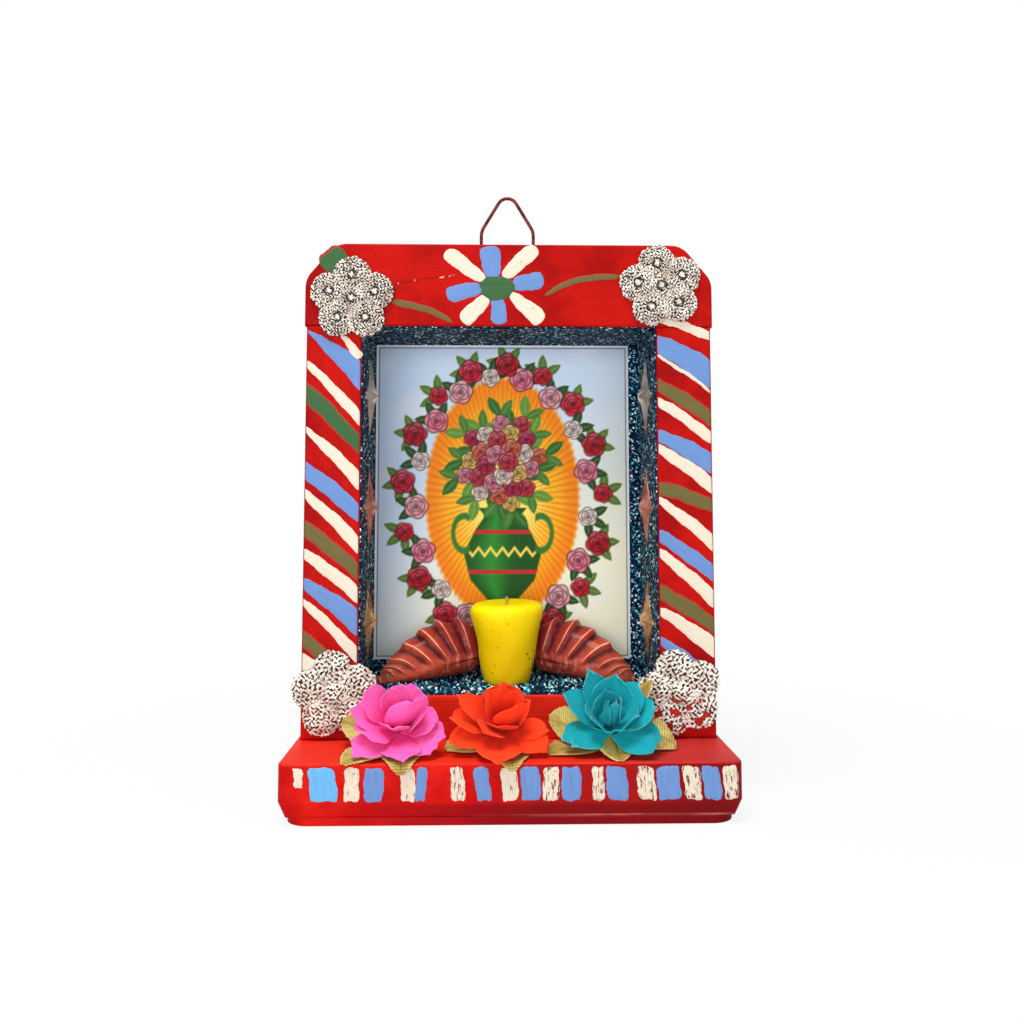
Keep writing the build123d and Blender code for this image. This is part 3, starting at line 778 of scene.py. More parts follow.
def slanted_stroke(x_ends, start, end, seed):
    """A stripe across a post. start and end give its upper and lower edge at each side of the post, and both
    edges bow a little as a brush does."""
    along, across = lattice(44, 9)
    swing = np.sin(np.pi * along)
    upper = start[0] + (end[0] - start[0]) * along + 0.9 * swing + shaky(along * 2, seed)
    lower = start[1] + (end[1] - start[1]) * along + 0.3 * swing + shaky(along * 2, seed + 1)
    x = x_ends[0] + (x_ends[1] - x_ends[0]) * along
    z = upper + (lower - upper) * across
    length = abs(x_ends[1] - x_ends[0]) * 1.4
    return domed(x, z, along, across, front_face, along * length / 10 + seed * 1.7)


def block_stroke(x_start, x_end, z_low, z_high, lean, seed):
    """A short upright dab on the shelf's front. Its sides lean and waver, and draw in at both ends with the
    eighth power of the distance from its middle, which rounds its corners."""
    along, across = lattice(20, 14)
    left = x_start + shaky(along * 1.3, seed) * 0.9 + lean * along
    right = x_end + shaky(along * 1.3, seed + 1) * 0.9 + lean * along
    drawn_in = 1 - 0.22 * (2 * along - 1) ** 8
    x = (left + right) / 2 + (right - left) * (across - 0.5) * drawn_in
    z = z_high + (z_low - z_high) * along + shaky(across * 0.8, seed + 2)
    return domed(x, z, along, across, shelf_face, along * 1.1 + seed * 1.3)


def petal_stroke(start, end, width_start, width_end, seed, bow=0.0):
    """A dab from one place to another on the frame's front, with round ends and its own width at each end.
    The half width follows a flattened circle along the dab."""
    along, across = lattice(34, 11)
    run = np.array(end) - np.array(start)
    length = np.hypot(*run)
    side = np.array([-run[1], run[0]]) / length
    width = width_start + (width_end - width_start) * along
    swell = (1 - np.abs(2 * along - 1) ** 5) ** 0.5
    reach = (across - 0.5) * width * np.maximum(swell, 0.03) + shaky(along * 2, seed) * 0.6
    reach = reach + bow * np.sin(np.pi * along)
    x = start[0] + run[0] * along + side[0] * reach
    z = start[1] + run[1] * along + side[1] * reach
    return domed(x, z, along, across, front_face, along * length / 10 + seed * 1.1)


# Stripes down the posts, from the top: the paint, then the upper and lower edge at the outer and inner side
LEFT_STRIPES = (
    ("blue", (157.5, 156.8), (147.5, 135.5)),
    ("white", (147.5, 144.5), (129.5, 123.5)),
    ("green", (140.5, 131.5), (121.5, 113.5)),
    ("white", (124.5, 122.0), (109.0, 101.5)),
    ("blue", (112.5, 106.0), (98.0, 90.5)),
    ("white", (103.0, 99.5), (87.0, 80.0)),
    ("olive", (93.0, 86.0), (78.0, 71.0)),
    ("white", (83.0, 79.0), (70.0, 63.5)),
    ("blue", (73.0, 69.0), (62.5, 52.5)),
    ("white", (66.5, 63.5), (49.5, 43.5)),
    ("olive", (56.5, 49.5), (38.0, 32.0)),
    ("white", (48.5, 41.5), (34.0, 28.0)),
)
RIGHT_STRIPES = (
    ("white", (157.5, 153.8), (163.0, 161.0)),
    ("blue", (148.0, 136.5), (156.5, 150.0)),
    ("white", (137.0, 135.8), (149.5, 148.5)),
    ("olive", (130.5, 123.5), (141.5, 136.0)),
    ("white", (122.5, 117.5), (135.0, 131.5)),
    ("blue", (115.5, 107.0), (123.5, 119.0)),
    ("white", (107.0, 100.5), (118.5, 115.0)),
    ("olive", (99.5, 94.0), (106.0, 100.5)),
    ("white", (87.5, 81.0), (100.5, 97.5)),
    ("blue", (77.0, 70.5), (89.5, 84.5)),
    ("white", (68.5, 61.5), (83.0, 79.5)),
    ("olive", (59.5, 53.0), (71.0, 64.5)),
    ("white", (52.5, 44.5), (63.0, 60.0)),
    ("blue", (39.5, 35.0), (53.5, 50.0)),
)
# Dabs along the shelf's front, from the left: the paint, where it starts and ends, and its lean
SHELF_DABS = (
    ("white", -66.5, -63.6, 0.3),
    ("sky", -62.4, -53.6, 1.2),
    ("worn", -51.0, -46.2, 0.0),
    ("blue", -44.8, -38.6, -0.4),
    ("worn", -34.0, -29.3, 0.2),
    ("blue", -29.0, -25.6, -0.4),
    ("scratched", -19.0, -14.6, 0.8),
    ("blue", -11.8, -7.0, 1.2),
    ("worn", -3.4, 1.8, 0.6),
    ("blue", 2.6, 8.8, 0.4),
    ("scratched", 9.6, 14.8, 0.0),
    ("blue", 15.2, 21.4, 0.2),
    ("scratched", 24.6, 28.4, 0.3),
    ("blue", 28.6, 35.4, 0.8),
    ("scratched", 38.0, 43.8, 1.0),
    ("blue", 44.2, 51.6, 0.8),
    ("scratched", 52.2, 57.8, 1.2),
    ("blue", 58.2, 64.0, 1.0),
    ("scratched", 64.8, 69.6, 0.6),
)
# Daisy and stems on the top rail: the paint, both ends, the width at both ends, and for stems the bow
RAIL_DABS = (
    ("blue", (-7.2, 187.4), (-5.6, 176.0), 8.4, 6.0),
    ("white", (-2.2, 176.2), (9.4, 187.2), 4.6, 6.4),
    ("blue", (1.0, 173.6), (12.0, 175.6), 5.4, 7.0),
    ("white", (0.2, 170.6), (11.6, 160.8), 3.6, 7.4),
    ("blue", (-4.2, 169.8), (-3.4, 159.6), 4.6, 6.4),
    ("white", (-7.4, 169.6), (-16.4, 160.4), 4.6, 6.6),
    ("blue", (-9.6, 172.6), (-22.0, 169.8), 5.0, 6.6),
    ("white", (-8.6, 175.0), (-22.4, 185.4), 4.2, 6.4),
    ("olive", (12.0, 170.0), (39.0, 176.5), 2.2, 2.8, 2.4),
    ("olive", (-41.0, 167.4), (-19.6, 160.6), 3.0, 2.4, 1.2),
    ("white", (-59.0, 157.4), (-51.3, 147.6), 0.9, 4.4),
    ("green", (-65.0, 179.4), (-57.0, 184.8), 8.0, 9.0),
)


def daisy_heart():
    """The green blob in the daisy: a flattened disc whose radius wavers with the angle."""
    middle_x, middle_z, half_width, half_height = -4.4, 172.4, 6.6, 4.7
    rise = 0.1 + PAINT_RISE
    share, turn = turn_lattice(9, 48)
    waver = 1 + 0.07 * np.sin(3 * turn + 0.6) + 0.04 * np.sin(7 * turn)
    share = share * 0.98 + 0.02
    x = middle_x + half_width * waver * share * np.cos(turn)
    z = middle_z + half_height * waver * share * np.sin(turn)
    y = FRONT + PAINT_SINK - (rise + PAINT_SINK) * (1 - share**4) ** 0.5
    uv = pairs(0.3 * share * np.cos(turn), 0.5 + 0.25 * share * np.sin(turn))
    return triples(x, y, z), weave_faces(*x.shape, True), uv


strokes = {paint: [] for paint in paints}
for side, stripes in ((-1, LEFT_STRIPES), (1, RIGHT_STRIPES)):
    ends = (side * (FRAME_SIDE - 0.1), side * (OPENING_SIDE + 0.1))
    for number, (paint, outer_edge, inner_edge) in enumerate(stripes):
        strokes[paint].append(slanted_stroke(ends, outer_edge, inner_edge, 40 * side + 3 * number + 50))
for number, (paint, x_start, x_end, lean) in enumerate(SHELF_DABS):
    foot = DAB_FOOT if number else FIRST_DAB_FOOT
    strokes[paint].append(block_stroke(x_start, x_end, foot, DAB_TOP, lean, 200 + 3 * number))
for number, (paint, start, end, first_width, last_width, *bow) in enumerate(RAIL_DABS):
    strokes[paint].append(petal_stroke(start, end, first_width, last_width, 300 + number, *bow))
strokes["green"].append(daisy_heart())
for paint, shapes in strokes.items():
    points, faces, shares = joined(shapes)
    add_piece(f"{paint}_strokes", points, faces, paints[paint], uv=shares)


# Glitter

def glitter_patch(rng, count, origin, first, second, normal, sizes=(0.24, 0.56), steep=0.25):
    """Square flakes strewn over a wall from its origin, along its first and its second edge. Each has its
    own place, turn, size and tilt, and its lowest corner is just off the wall. steep is the largest slope."""
    off_wall = 0.06
    spot = rng.uniform(0, 1, (count, 2))
    size = rng.uniform(*sizes, count)
    turn = rng.uniform(0, np.pi, count)
    tilt = rng.uniform(-steep, steep, (count, 2))
    corner_turn = turn[:, None] + np.arange(4) * np.pi / 2
    run = np.cos(corner_turn) * size[:, None]
    rise = np.sin(corner_turn) * size[:, None]
    lift = run * tilt[:, :1] + rise * tilt[:, 1:]
    lift = lift - lift.min(1, keepdims=True) + off_wall
    points = (origin + spot[:, :1] * first + spot[:, 1:] * second)[:, None, :]
    for reach, edge in ((run, first), (rise, second)):
        points = points + reach[..., None] * (edge / np.linalg.norm(edge))
    points = points + lift[..., None] * np.array(normal)
    faces = np.arange(count * 4).reshape(-1, 4)
    if np.dot(np.cross(first, second), normal) < 0:
        faces = faces[:, ::-1]
    return points.reshape(-1, 3), faces


def strew_glitter():
    """Flakes on the walls, the floor and the ceiling of the niche, and on the back under and beside the
    print. Those on the floor are larger and steeper, have two more colours, and more pale flakes as painted
    light."""
    rng = np.random.default_rng(SEED)
    print_low, print_high = corners("picture_card")
    deep = np.array([0.0, NICHE_BACK - NICHE_FRONT, 0.0])
    wide = np.array([2.0 * NICHE_SIDE, 0.0, 0.0])
    tall = np.array([0.0, 0.0, CEILING - NICHE_FLOOR])
    under_print = np.array([0.0, 0.0, print_low[2] - NICHE_FLOOR])
    beside_print = np.array([NICHE_SIDE - print_high[0], 0.0, 0.0])
    left_foot = np.array([-NICHE_SIDE, NICHE_FRONT, NICHE_FLOOR])
    strip_foot = np.array([print_high[0], NICHE_BACK, NICHE_FLOOR])
    patches = (
        (5200, left_foot, deep, tall, (1, 0, 0)),
        (5200, left_foot + wide, deep, tall, (-1, 0, 0)),
        (4200, left_foot, wide, deep, (0, 0, 1), (0.26, 0.7), 1.2),
        (3200, left_foot + tall, wide, deep, (0, 0, -1)),
        (900, left_foot + deep, wide, under_print, (0, -1, 0)),
        (800, strip_foot, beside_print, tall, (0, -1, 0)),
    )
    points, faces = joined([glitter_patch(rng, *patch) for patch in patches])
    navy_to_white = ((4, 16, 48), (12, 42, 92), (20, 92, 136), (104, 214, 226), (250, 255, 255))
    foils = linear((*navy_to_white, (10, 70, 78), (40, 172, 178)))
    wall_pick = rng.choice(len(foils), len(faces), p=(0.38, 0.24, 0.14, 0.12, 0.12, 0.0, 0.0))
    # Painted light: the floor's flakes are paler than the walls', for the light that falls on the floor
    floor_pick = rng.choice(len(foils), len(faces), p=(0.16, 0.08, 0.06, 0.17, 0.2, 0.17, 0.16))
    on_floor = points.reshape(-1, 4, 3)[:, :, 2].max(1) < NICHE_FLOOR + 1.0
    flake_colour = foils[np.where(on_floor, floor_pick, wall_pick)]
    colour = ("foil", np.repeat(flake_colour, 4, 0))
    add_piece("glitter", points, faces, glitter_flakes("glitter_flakes"), colour=colour)


strew_glitter()


# Print: a jug of flowers before a gilded sun, in a wreath of roses

class Painting:
    """Ink on a sheet of places, laid down one shape over another. Colours are 0 to 255."""

    def __init__(self, x, z):
        self.x = x
        self.z = z
        self.ink = np.zeros((*x.shape, 3))

    def lay(self, mask, colour):
        cover = np.clip(mask, 0, 1)[..., None]
        self.ink = self.ink * (1 - cover) + np.array(colour) * cover

    def leaf(self, at, length, width, turn, colour):
        """A pointed leaf: a lens along its turn, with a pale rib."""
        dx, dz = self.x - at[0], self.z - at[1]
        run = (dx * np.cos(turn) + dz * np.sin(turn)) / length
        side = (dz * np.cos(turn) - dx * np.sin(turn)) / width
        edge = 1 - np.abs(side) - (2 * run - 1) ** 2
        self.lay(ease(edge, 0.0, 0.18), colour)
        self.lay(ease(edge, 0.5, 0.75) * ease(0.16 - np.abs(side), 0, 0.1) * 0.6, np.array(colour) * 0.6 + 90)

    def rose(self, at, radius, colour, turn):
        """A round bloom in three turns of petals, each smaller than the last. A petal is light at its rim and
        dark at its root and where it meets the next."""
        base = np.array(colour, float)
        for size, petals, shift in ((1.0, 5, 0.0), (0.70, 4, 0.9), (0.42, 3, 2.0)):
            dx, dz = (self.x - at[0]) / (radius * size), (self.z - at[1]) / (radius * size)
            distance = np.hypot(dx, dz)
            lobe = np.abs(np.cos(petals * (np.arctan2(dz, dx) + turn + shift) / 2))
            edge = distance * (1.16 - 0.16 * lobe)
            rim = ease(distance, 0.3, 1.0) * (0.45 + 0.55 * lobe)
            light = 0.12 * rim + 0.2 * ease(dz - 0.3 * dx, -0.1, 1.0)
            tone = base * (0.48 + 0.55 * rim)[..., None] + (255 - base) * light[..., None]
            self.lay(ease(1.12 - edge, 0, 0.1) * 0.7, base * 0.3)
            self.lay(ease(1.0 - edge, 0, 0.14), tone)


def painted_card(x, z):
    """Ink at each place, in millimetres from the card's middle."""
    art = Painting(x, z)
    cloud = np.sin(x * 0.11 + 2 * np.sin(z * 0.05)) * np.sin(z * 0.16 + 1.3 * np.sin(x * 0.07))
    art.lay(np.ones_like(x), (206, 224, 246))
    art.lay(ease(0.6 * x - z, -40, 60) * 0.9, (252, 248, 214))
    art.lay(ease(cloud, 0.1, 0.9) * 0.5, (244, 243, 240))
    art.lay(ease(-x, 20, 48) * 0.35, (172, 200, 238))

    sun_wide, sun_tall, sun_level = 28.0, 44.0, 1.0
    reach = np.hypot(x / sun_wide, (z - sun_level) / sun_tall)
    bearing = np.arctan2((z - sun_level) / sun_tall, x / sun_wide)
    ray = 0.5 + 0.5 * np.cos(96 * bearing)
    art.lay(ease(1.06 + 0.02 * ray - reach, 0, 0.06), (250, 136, 16))
    art.lay(ease(0.98 - reach, 0, 0.25), (255, 178, 28))
    art.lay(ease(0.80 - reach, 0, 0.5), (255, 232, 110))
    beam = ease(ray, 0.55, 0.95) * ease(reach, 0.3, 0.6) * ease(1.03 - reach, 0, 0.03)
    art.lay(beam * 0.55, (206, 112, 22))

    wreath_wide, wreath_tall, blooms = 35.5, 49.5, 34
    reds = ((222, 0, 28), (255, 120, 150), (206, 0, 20), (255, 230, 222), (232, 16, 48), (255, 168, 182))
    wreath = []
    for number in range(blooms):
        heading = 2 * np.pi * number / blooms + 0.05
        sway = (-1) ** number
        at_x = wreath_wide * (1 + 0.075 * sway) * np.cos(heading)
        at_z = wreath_tall * (1 + 0.045 * sway) * np.sin(heading)
        wreath.append((number, heading + 0.4 * sway, (at_x, at_z)))
    for number, heading, at in wreath:
        green = (36, 76, 26) if number % 2 else (88, 122, 46)
        for spread in (-1.0, 0.0, 1.0):
            art.leaf(at, 8.6, 1.9, heading + spread, green)
    for number, heading, at in wreath:
        art.rose(at, 4.7 if number % 3 else 3.7, reds[number % len(reds)], number * 1.7)

    # Jug: a turned outline with a foot, a round belly, a neck and a lip
    level = np.array([-44.0, -41.5, -38.5, -30.0, -20.0, -11.0, -6.0, -3.0])
    half = np.array([8.5, 8.0, 5.0, 12.5, 15.0, 10.5, 7.0, 9.5])
    jug = np.interp(z, level, half, left=0, right=0)
    within = ease(jug - np.abs(x), 0, 0.7) * (z > level[0]) * (z < level[-1])
    across = x / np.maximum(jug, 1)
    glaze = np.array([44, 128, 44]) * (0.62 + 0.5 * ease(0.75 - np.abs(across + 0.3), 0, 0.9))[..., None]
    art.lay(within, glaze)
    zigzag = np.abs(((x * 0.22) % 1) - 0.5) * 6
    art.lay(within * ease(1.1 - np.abs(z + 21 - zigzag), 0, 0.7), (246, 214, 90))
    art.lay(within * ease(1.0 - np.abs(z + 27), 0, 0.5), (196, 40, 46))
    art.lay(within * ease(1.0 - np.abs(z + 12), 0, 0.5), (196, 40, 46))
    for side in (-1, 1):
        ring = np.hypot((x - side * 14.5) / 4.2, (z + 12.5) / 6.5)
        art.lay(ease(0.26 - np.abs(ring - 1), 0, 0.14) * (side * x > 12.2), (52, 118, 48))

    bunch, golden_turn, bunch_level = 26, 2.39996, 14.5
    colours = ((214, 34, 60), (240, 126, 150), (252, 226, 210), (236, 92, 60), (196, 18, 66), (248, 196, 90))

    def in_bunch(number, reach):
        """A heading and a place in the bunch: each is a golden turn further round, and the square root of its
        number spreads them evenly."""
        heading = golden_turn * number
        distance = reach * math.sqrt((number + 0.5) / bunch)
        return heading, (distance * math.cos(heading), bunch_level + distance * 1.12 * math.sin(heading))

    for number in range(bunch):
        heading, at = in_bunch(number, 17.5)
        art.leaf(at, 9.5, 2.2, heading + 0.5, (46, 104, 38) if number % 2 else (98, 146, 54))
        art.leaf(at, 8.5, 1.9, heading - 0.6, (70, 122, 46))
    for number in range(bunch - 1, -1, -1):
        heading, at = in_bunch(number, 15.0)
        art.rose(at, 3.9 - 0.02 * number, colours[number % len(colours)], number * 1.1)

    # Thin printed margin
    low_x, high_x, low_z, high_z = x.min(), x.max(), z.min(), z.max()
    margin = np.minimum(np.minimum(x - low_x, high_x - x), np.minimum(z - low_z, high_z - z))
    art.lay(ease(0.9 - margin, 0, 0.3), (232, 236, 242))
    art.lay(ease(0.35 - np.abs(margin - 1.1), 0, 0.2) * 0.8, (44, 54, 78))
    return art.ink


def make_print():
    """A thin card with a slight bow: a dense grid in front that carries the ink, and a rim and a back."""
    low, high = corners("picture_card")
    rows, columns = 326, 266
    down, right = lattice(rows, columns)
    x = low[0] + (high[0] - low[0]) * right
    z = high[2] + (low[2] - high[2]) * down
    bow = 0.12 * np.sin(np.pi * right) * np.sin(np.pi * down)
    front = triples(x, low[1] - bow, z)
    art = painted_card(x - (low[0] + high[0]) / 2, z - (low[2] + high[2]) / 2)
    number = np.arange(rows * columns).reshape(rows, columns)
    ring = np.concatenate([number[0, :-1], number[:-1, -1], number[-1, :0:-1], number[:0:-1, 0]])
    back = front[ring]
    back[:, 1] = high[1]
    cap = len(front) + np.arange(len(ring))
    rim = np.stack([ring, cap, np.roll(cap, -1), np.roll(ring, -1)], -1)
    points = np.concatenate([front, back])
    faces = np.concatenate([weave_faces(rows, columns, flip=True), rim])
    bare_card = np.full((len(back), 3), 0.75)
    colour = ("ink", np.concatenate([linear(art).reshape(-1, 3), bare_card]))
    material = printed_card("printed_card")
    add_piece("flower_print", points, faces, material, ("picture_card",), (cap,), colour=colour)


make_print()


# Tin stars

def make_star(side_name, row_name, material):
    """A pressed star: its outline is an astroid with four drawn-out points, ridged along each point, with a
    domed boss in the middle and a rim that meets the wall."""
    node = f"star_{side_name}_{row_name}"
    low, high = corners(node)
    side = -1 if side_name == "left" else 1
    centre = (low + high) / 2
    reach_across = (high[1] - low[1]) / 2
    reach_up = (high[2] - low[2]) / 2
    rows, columns = 16, 96
    share, turn = turn_lattice(rows, columns)
    share = share * 0.985 + 0.015
    power, rim_height, ridge_height, boss_height, boss_radius = 0.625, 0.35, 2.2, 0.8, 3.4
    outline = np.abs(np.cos(turn) / reach_across) ** power + np.abs(np.sin(turn) / reach_up) ** power
    outline = outline ** (-1 / power)
    along = outline * share * np.cos(turn)
    up = outline * share * np.sin(turn)
    ridge = np.abs(np.cos(2 * turn)) ** 1.5
    boss = boss_height * ease(boss_radius - np.hypot(along, up), 0, 2.6)
    height = rim_height + ridge_height * (1 - share) * (0.2 + 0.8 * ridge) + boss
    wall_x = side * NICHE_SIDE
    face = np.stack([wall_x - side * height, centre[1] + along, centre[2] + up], -1)
    rim = face[-1:].copy()
    rim[..., 0] = wall_x
    points = np.concatenate([face, rim])
    faces, caps = tube_faces(rows + 1, columns, side < 0)
    add_piece(f"tin_star_{side_name}_{row_name}", points, faces, material, (node,), caps)


star_tins = {
    "upper": tin("grey_tin", tint(196, 184, 172), tint(150, 138, 132)),
    "middle": tin("rosy_tin", tint(196, 128, 118), tint(150, 70, 66)),
    "lower": tin("gilded_tin", tint(200, 160, 106), tint(142, 92, 54)),
}
for side_name in ("left", "right"):
    for row_name, metal in star_tins.items():
        make_star(side_name, row_name, metal)


# Candle

# The candle's outline from the middle of its foot, up its flared side and over the rim into its dish: the
# radius in millimetres and the level as a share of the height
CANDLE_OUTLINE = np.array((
    (0.2, 0.0), (7.2, 0.0), (8.0, 0.02), (8.4, 0.08), (9.0, 0.18), (9.6, 0.30), (10.5, 0.47), (11.5, 0.62),
    (12.4, 0.75), (13.0, 0.86), (13.0, 0.92), (12.5, 0.957), (11.5, 0.983), (10.0, 0.996), (8.0, 0.998),
    (4.5, 0.975), (0.9, 0.97),
))


def make_candle():
    """The outline is softened over five rows and turned, with dents that vary with height and angle and a rim
    that slumps to one side."""
    low, high = corners("candle_wax")
    centre = (low + high) / 2
    tall = high[2] - low[2]
    rows, columns = 90, 96
    share, turn = turn_lattice(rows, columns)
    station = np.linspace(0, 1, len(CANDLE_OUTLINE))
    kernel = np.array([1, 2, 3, 2, 1]) / 9
    drawn = [np.interp(share[:, 0], station, values) for values in CANDLE_OUTLINE.T]
    softened = [np.convolve(np.pad(values, 2, mode="edge"), kernel, mode="valid") for values in drawn]
    round_out = softened[0][:, None]
    rise = softened[1][:, None]
    height = rise * tall
    dent = 0.22 * np.sin(2 * turn + 0.25 * height) + 0.12 * np.sin(5 * turn - 0.4 * height + 1.0)
    slump = 0.35 * np.sin(turn + 0.8) * rise**3 * ease(rise, 0.2, 1.0)
    round_out = round_out + dent * ease(round_out, 2.0, 9.0)
    points = triples(
        centre[0] + round_out * np.cos(turn), centre[1] + round_out * np.sin(turn), low[2] + height + slump
    )
    faces, caps = tube_faces(rows, columns)
    add_piece("yellow_candle", points, faces, candle_wax("candle_wax"), ("candle_wax",), caps)


make_candle()


# Toy breads

def make_bread(side_name, material):
    """A ribbed horn: sections of a domed half round carried along a line from the blunt end to the tip. Each
    rib rises slowly to a sharp crest and falls quickly behind it. The ribs follow the rows of the grid, which
    lean towards the tip with the height of the section. The smooth sole lifts off the floor towards the blunt
    end, and the back is flat against the print."""
    side = -1 if side_name == "left" else 1
    print_face = corners("picture_card")[0][1]
    length, width, height = 37.2, 18.0, 21.0
    blunt, tip = 0.33, 0.965
    ribs, rows_per_rib, columns = 8, 25, 110
    slant, crest_at = 0.27, 0.8
    candle_x, end_x, end_y = -0.5, 11.3, 25.2
    turn = math.radians(22.0)
    along = np.array([side * math.cos(turn), -math.sin(turn), 0.0])
    across = np.array([side * math.sin(turn), math.cos(turn), 0.0])
    end = np.array([candle_x + side * end_x, end_y, NICHE_FLOOR])
    rows = ribs * rows_per_rib + 1
    step, angle = turn_lattice(rows, columns)
    sideways = np.cos(angle)
    up = np.sin(angle)
    dome = np.maximum(up, 0) ** 0.85
    share = step + 0.02 * np.sin(4 * np.pi * step) + slant * dome * np.sin(np.pi * step)
    swell = np.sin(np.pi * (blunt + (tip - blunt) * share)) ** 0.9
    swell = swell * (1 - 0.6 * ease(0.06 - share, 0, 0.06)) * (1 - 0.35 * ease(share, 0.93, 1.0))
    beat = step * ribs % 1
    rib = np.where(beat < crest_at, (beat / crest_at) ** 1.3, (1 - beat) / (1 - crest_at))
    strength = 0.09 + 0.02 * np.sin(2.4 * np.floor(step * ribs + 0.001))
    on_back = ease(up, 0.02, 0.3)
    relief = 1 + strength * (rib - 0.5) * on_back
    out = width / 2 * swell * relief * np.sign(sideways) * np.abs(sideways) ** 0.8
    keel = (0.32 - 0.2 * share) * (1 - np.abs(np.minimum(up, 0)) ** 1.5)
    rise = height * swell * relief * (keel + (1 - keel) * dome)
    rise = rise + 2.6 * (1 - share) ** 2.2 * (1 - ease(up, -0.2, 0.6))
    spine = end + along * length * share[..., None]
    bow = 0.8 * np.sin(np.pi * share)
    points = spine + across * (out + bow)[..., None] + np.array([0, 0, 1.0]) * (rise + 0.02)[..., None]
    points[..., 1] = np.minimum(points[..., 1], print_face - 0.2)
    # The ridge colour is painted light: a highlight along each crest, shade in the grooves, a middle tone on
    # the sole
    crest = ease(rib, 0.86, 1.0)
    plate_and_groove_shade = ease(rib, 0.0, 0.25) * (0.3 + 0.22 * rib)
    shade = (plate_and_groove_shade + 0.48 * crest) * on_back + 0.55 * (1 - on_back)
    colour = ("ridge", triples(shade, share, on_back))
    faces, caps = tube_faces(rows, columns, side < 0)
    node = f"bread_{side_name}"
    add_piece(f"toy_{node}", points, faces, material, (node,), caps, colour=colour)


bread_crust = crust("bread_crust")
make_bread("left", bread_crust)
make_bread("right", bread_crust)


# Cloth roses

ROSE_TILT = math.radians(40.0)
LEAN = np.array([0.0, -math.sin(ROSE_TILT), math.cos(ROSE_TILT)])
RIGHT = np.array([1.0, 0.0, 0.0])
AWAY = np.cross(LEAN, RIGHT)
ROSE_Y, ROSE_Z = -21.1, 26.0
CALYX_Y = -15.25

# Each ring: how far from the stem its petals' lengths start, its seat up the stem, the outward roll of the
# rim in degrees, and the cup
RINGS = {
    "outer": (2.6, 0.8, 14.0, 0.0),
    "middle": (2.2, 1.2, 14.0, 0.1),
    "inner": (1.6, 1.6, 6.0, 0.18),
    "bud": (0.6, 2.0, 2.0, 0.3),
}
# Petals: bearing round the stem, 0 to the viewer's right and 270 to the shelf's edge, then the lift
# in degrees, the length, the half width, and for some how far the tip leans, as a share of the length
PETALS = {
    "pink": {
        "outer": (
            (229, 18, 16.8, 5.9), (282, 20, 15.8, 6.3), (318, 14, 14.4, 5.4),
            (339, 16, 14.4, 5.6), (70, 40, 12.0, 7.6),
        ),
        "middle": (
            (180, 38, 15.5, 5.6), (212, 36, 14.0, 7.0), (351, 30, 12.4, 5.6),
            (155, 55, 15.5, 5.6), (357, 56, 12.5, 5.2),
        ),
        "inner": ((288, 86, 15.0, 6.6, 0.34), (113, 75, 13.5, 4.4), (258, 58, 8.6, 5.4), (66, 72, 14.0, 3.8)),
        "bud": ((60, 84, 6.0, 3.0), (180, 84, 5.6, 2.8), (300, 84, 5.0, 2.8)),
    },
    "orange": {
        "outer": (
            (204, 12, 17.0, 5.2), (264, 18, 17.6, 7.4), (321, 10, 14.6, 5.8),
            (349, 15, 12.4, 4.6), (90, 40, 12.0, 7.6),
        ),
        "middle": (
            (184, 28, 17.0, 5.0), (167, 43, 17.5, 4.6), (226, 46, 11.5, 5.6),
            (10, 63, 12.4, 4.4), (48, 71, 13.0, 4.4),
        ),
        "inner": (
            (282, 86, 12.6, 6.0, 0.32), (140, 70, 13.0, 4.6), (100, 75, 13.6, 4.6), (262, 58, 8.4, 5.6),
        ),
        "bud": ((30, 84, 5.6, 3.0), (150, 84, 5.4, 2.8), (270, 84, 5.0, 2.8)),
    },
    "turquoise": {
        "outer": (
            (204, 16, 16.0, 6.0), (219, 18, 14.6, 5.6), (317, 18, 16.0, 6.2),
            (339, 14, 15.4, 6.4), (96, 38, 12.8, 7.6),
        ),
        "middle": (
            (163, 38, 17.4, 5.8), (121, 53, 18.0, 5.2), (82, 62, 15.5, 6.8),
            (5, 37, 15.0, 6.6), (37, 52, 15.5, 6.4),
        ),
        "inner": ((205, 54, 12.5, 7.0), (266, 48, 11.0, 7.2), (332, 54, 12.5, 7.4), (110, 70, 12.0, 5.4)),
        "bud": ((280, 84, 15.4, 5.2, 0.02), (190, 86, 15.0, 4.4, 0.1), (10, 86, 16.0, 4.4, -0.1)),
    },
}
# The end of a petal's outline: a high first value makes it broad, a high second one pointed
TIPS = {"pink": (4.2, 0.42), "orange": (2.7, 0.54), "turquoise": (2.2, 0.6)}
BUD_TIP = (1.0, 0.9)
# How far petals lie over the shelf, by turns, and the thickness of their cloth and of the leaves' gauze
PETAL_RESTS = (2.0, 2.8)
CLOTH_THICKNESS = 0.35
GAUZE_THICKNESS = 0.25


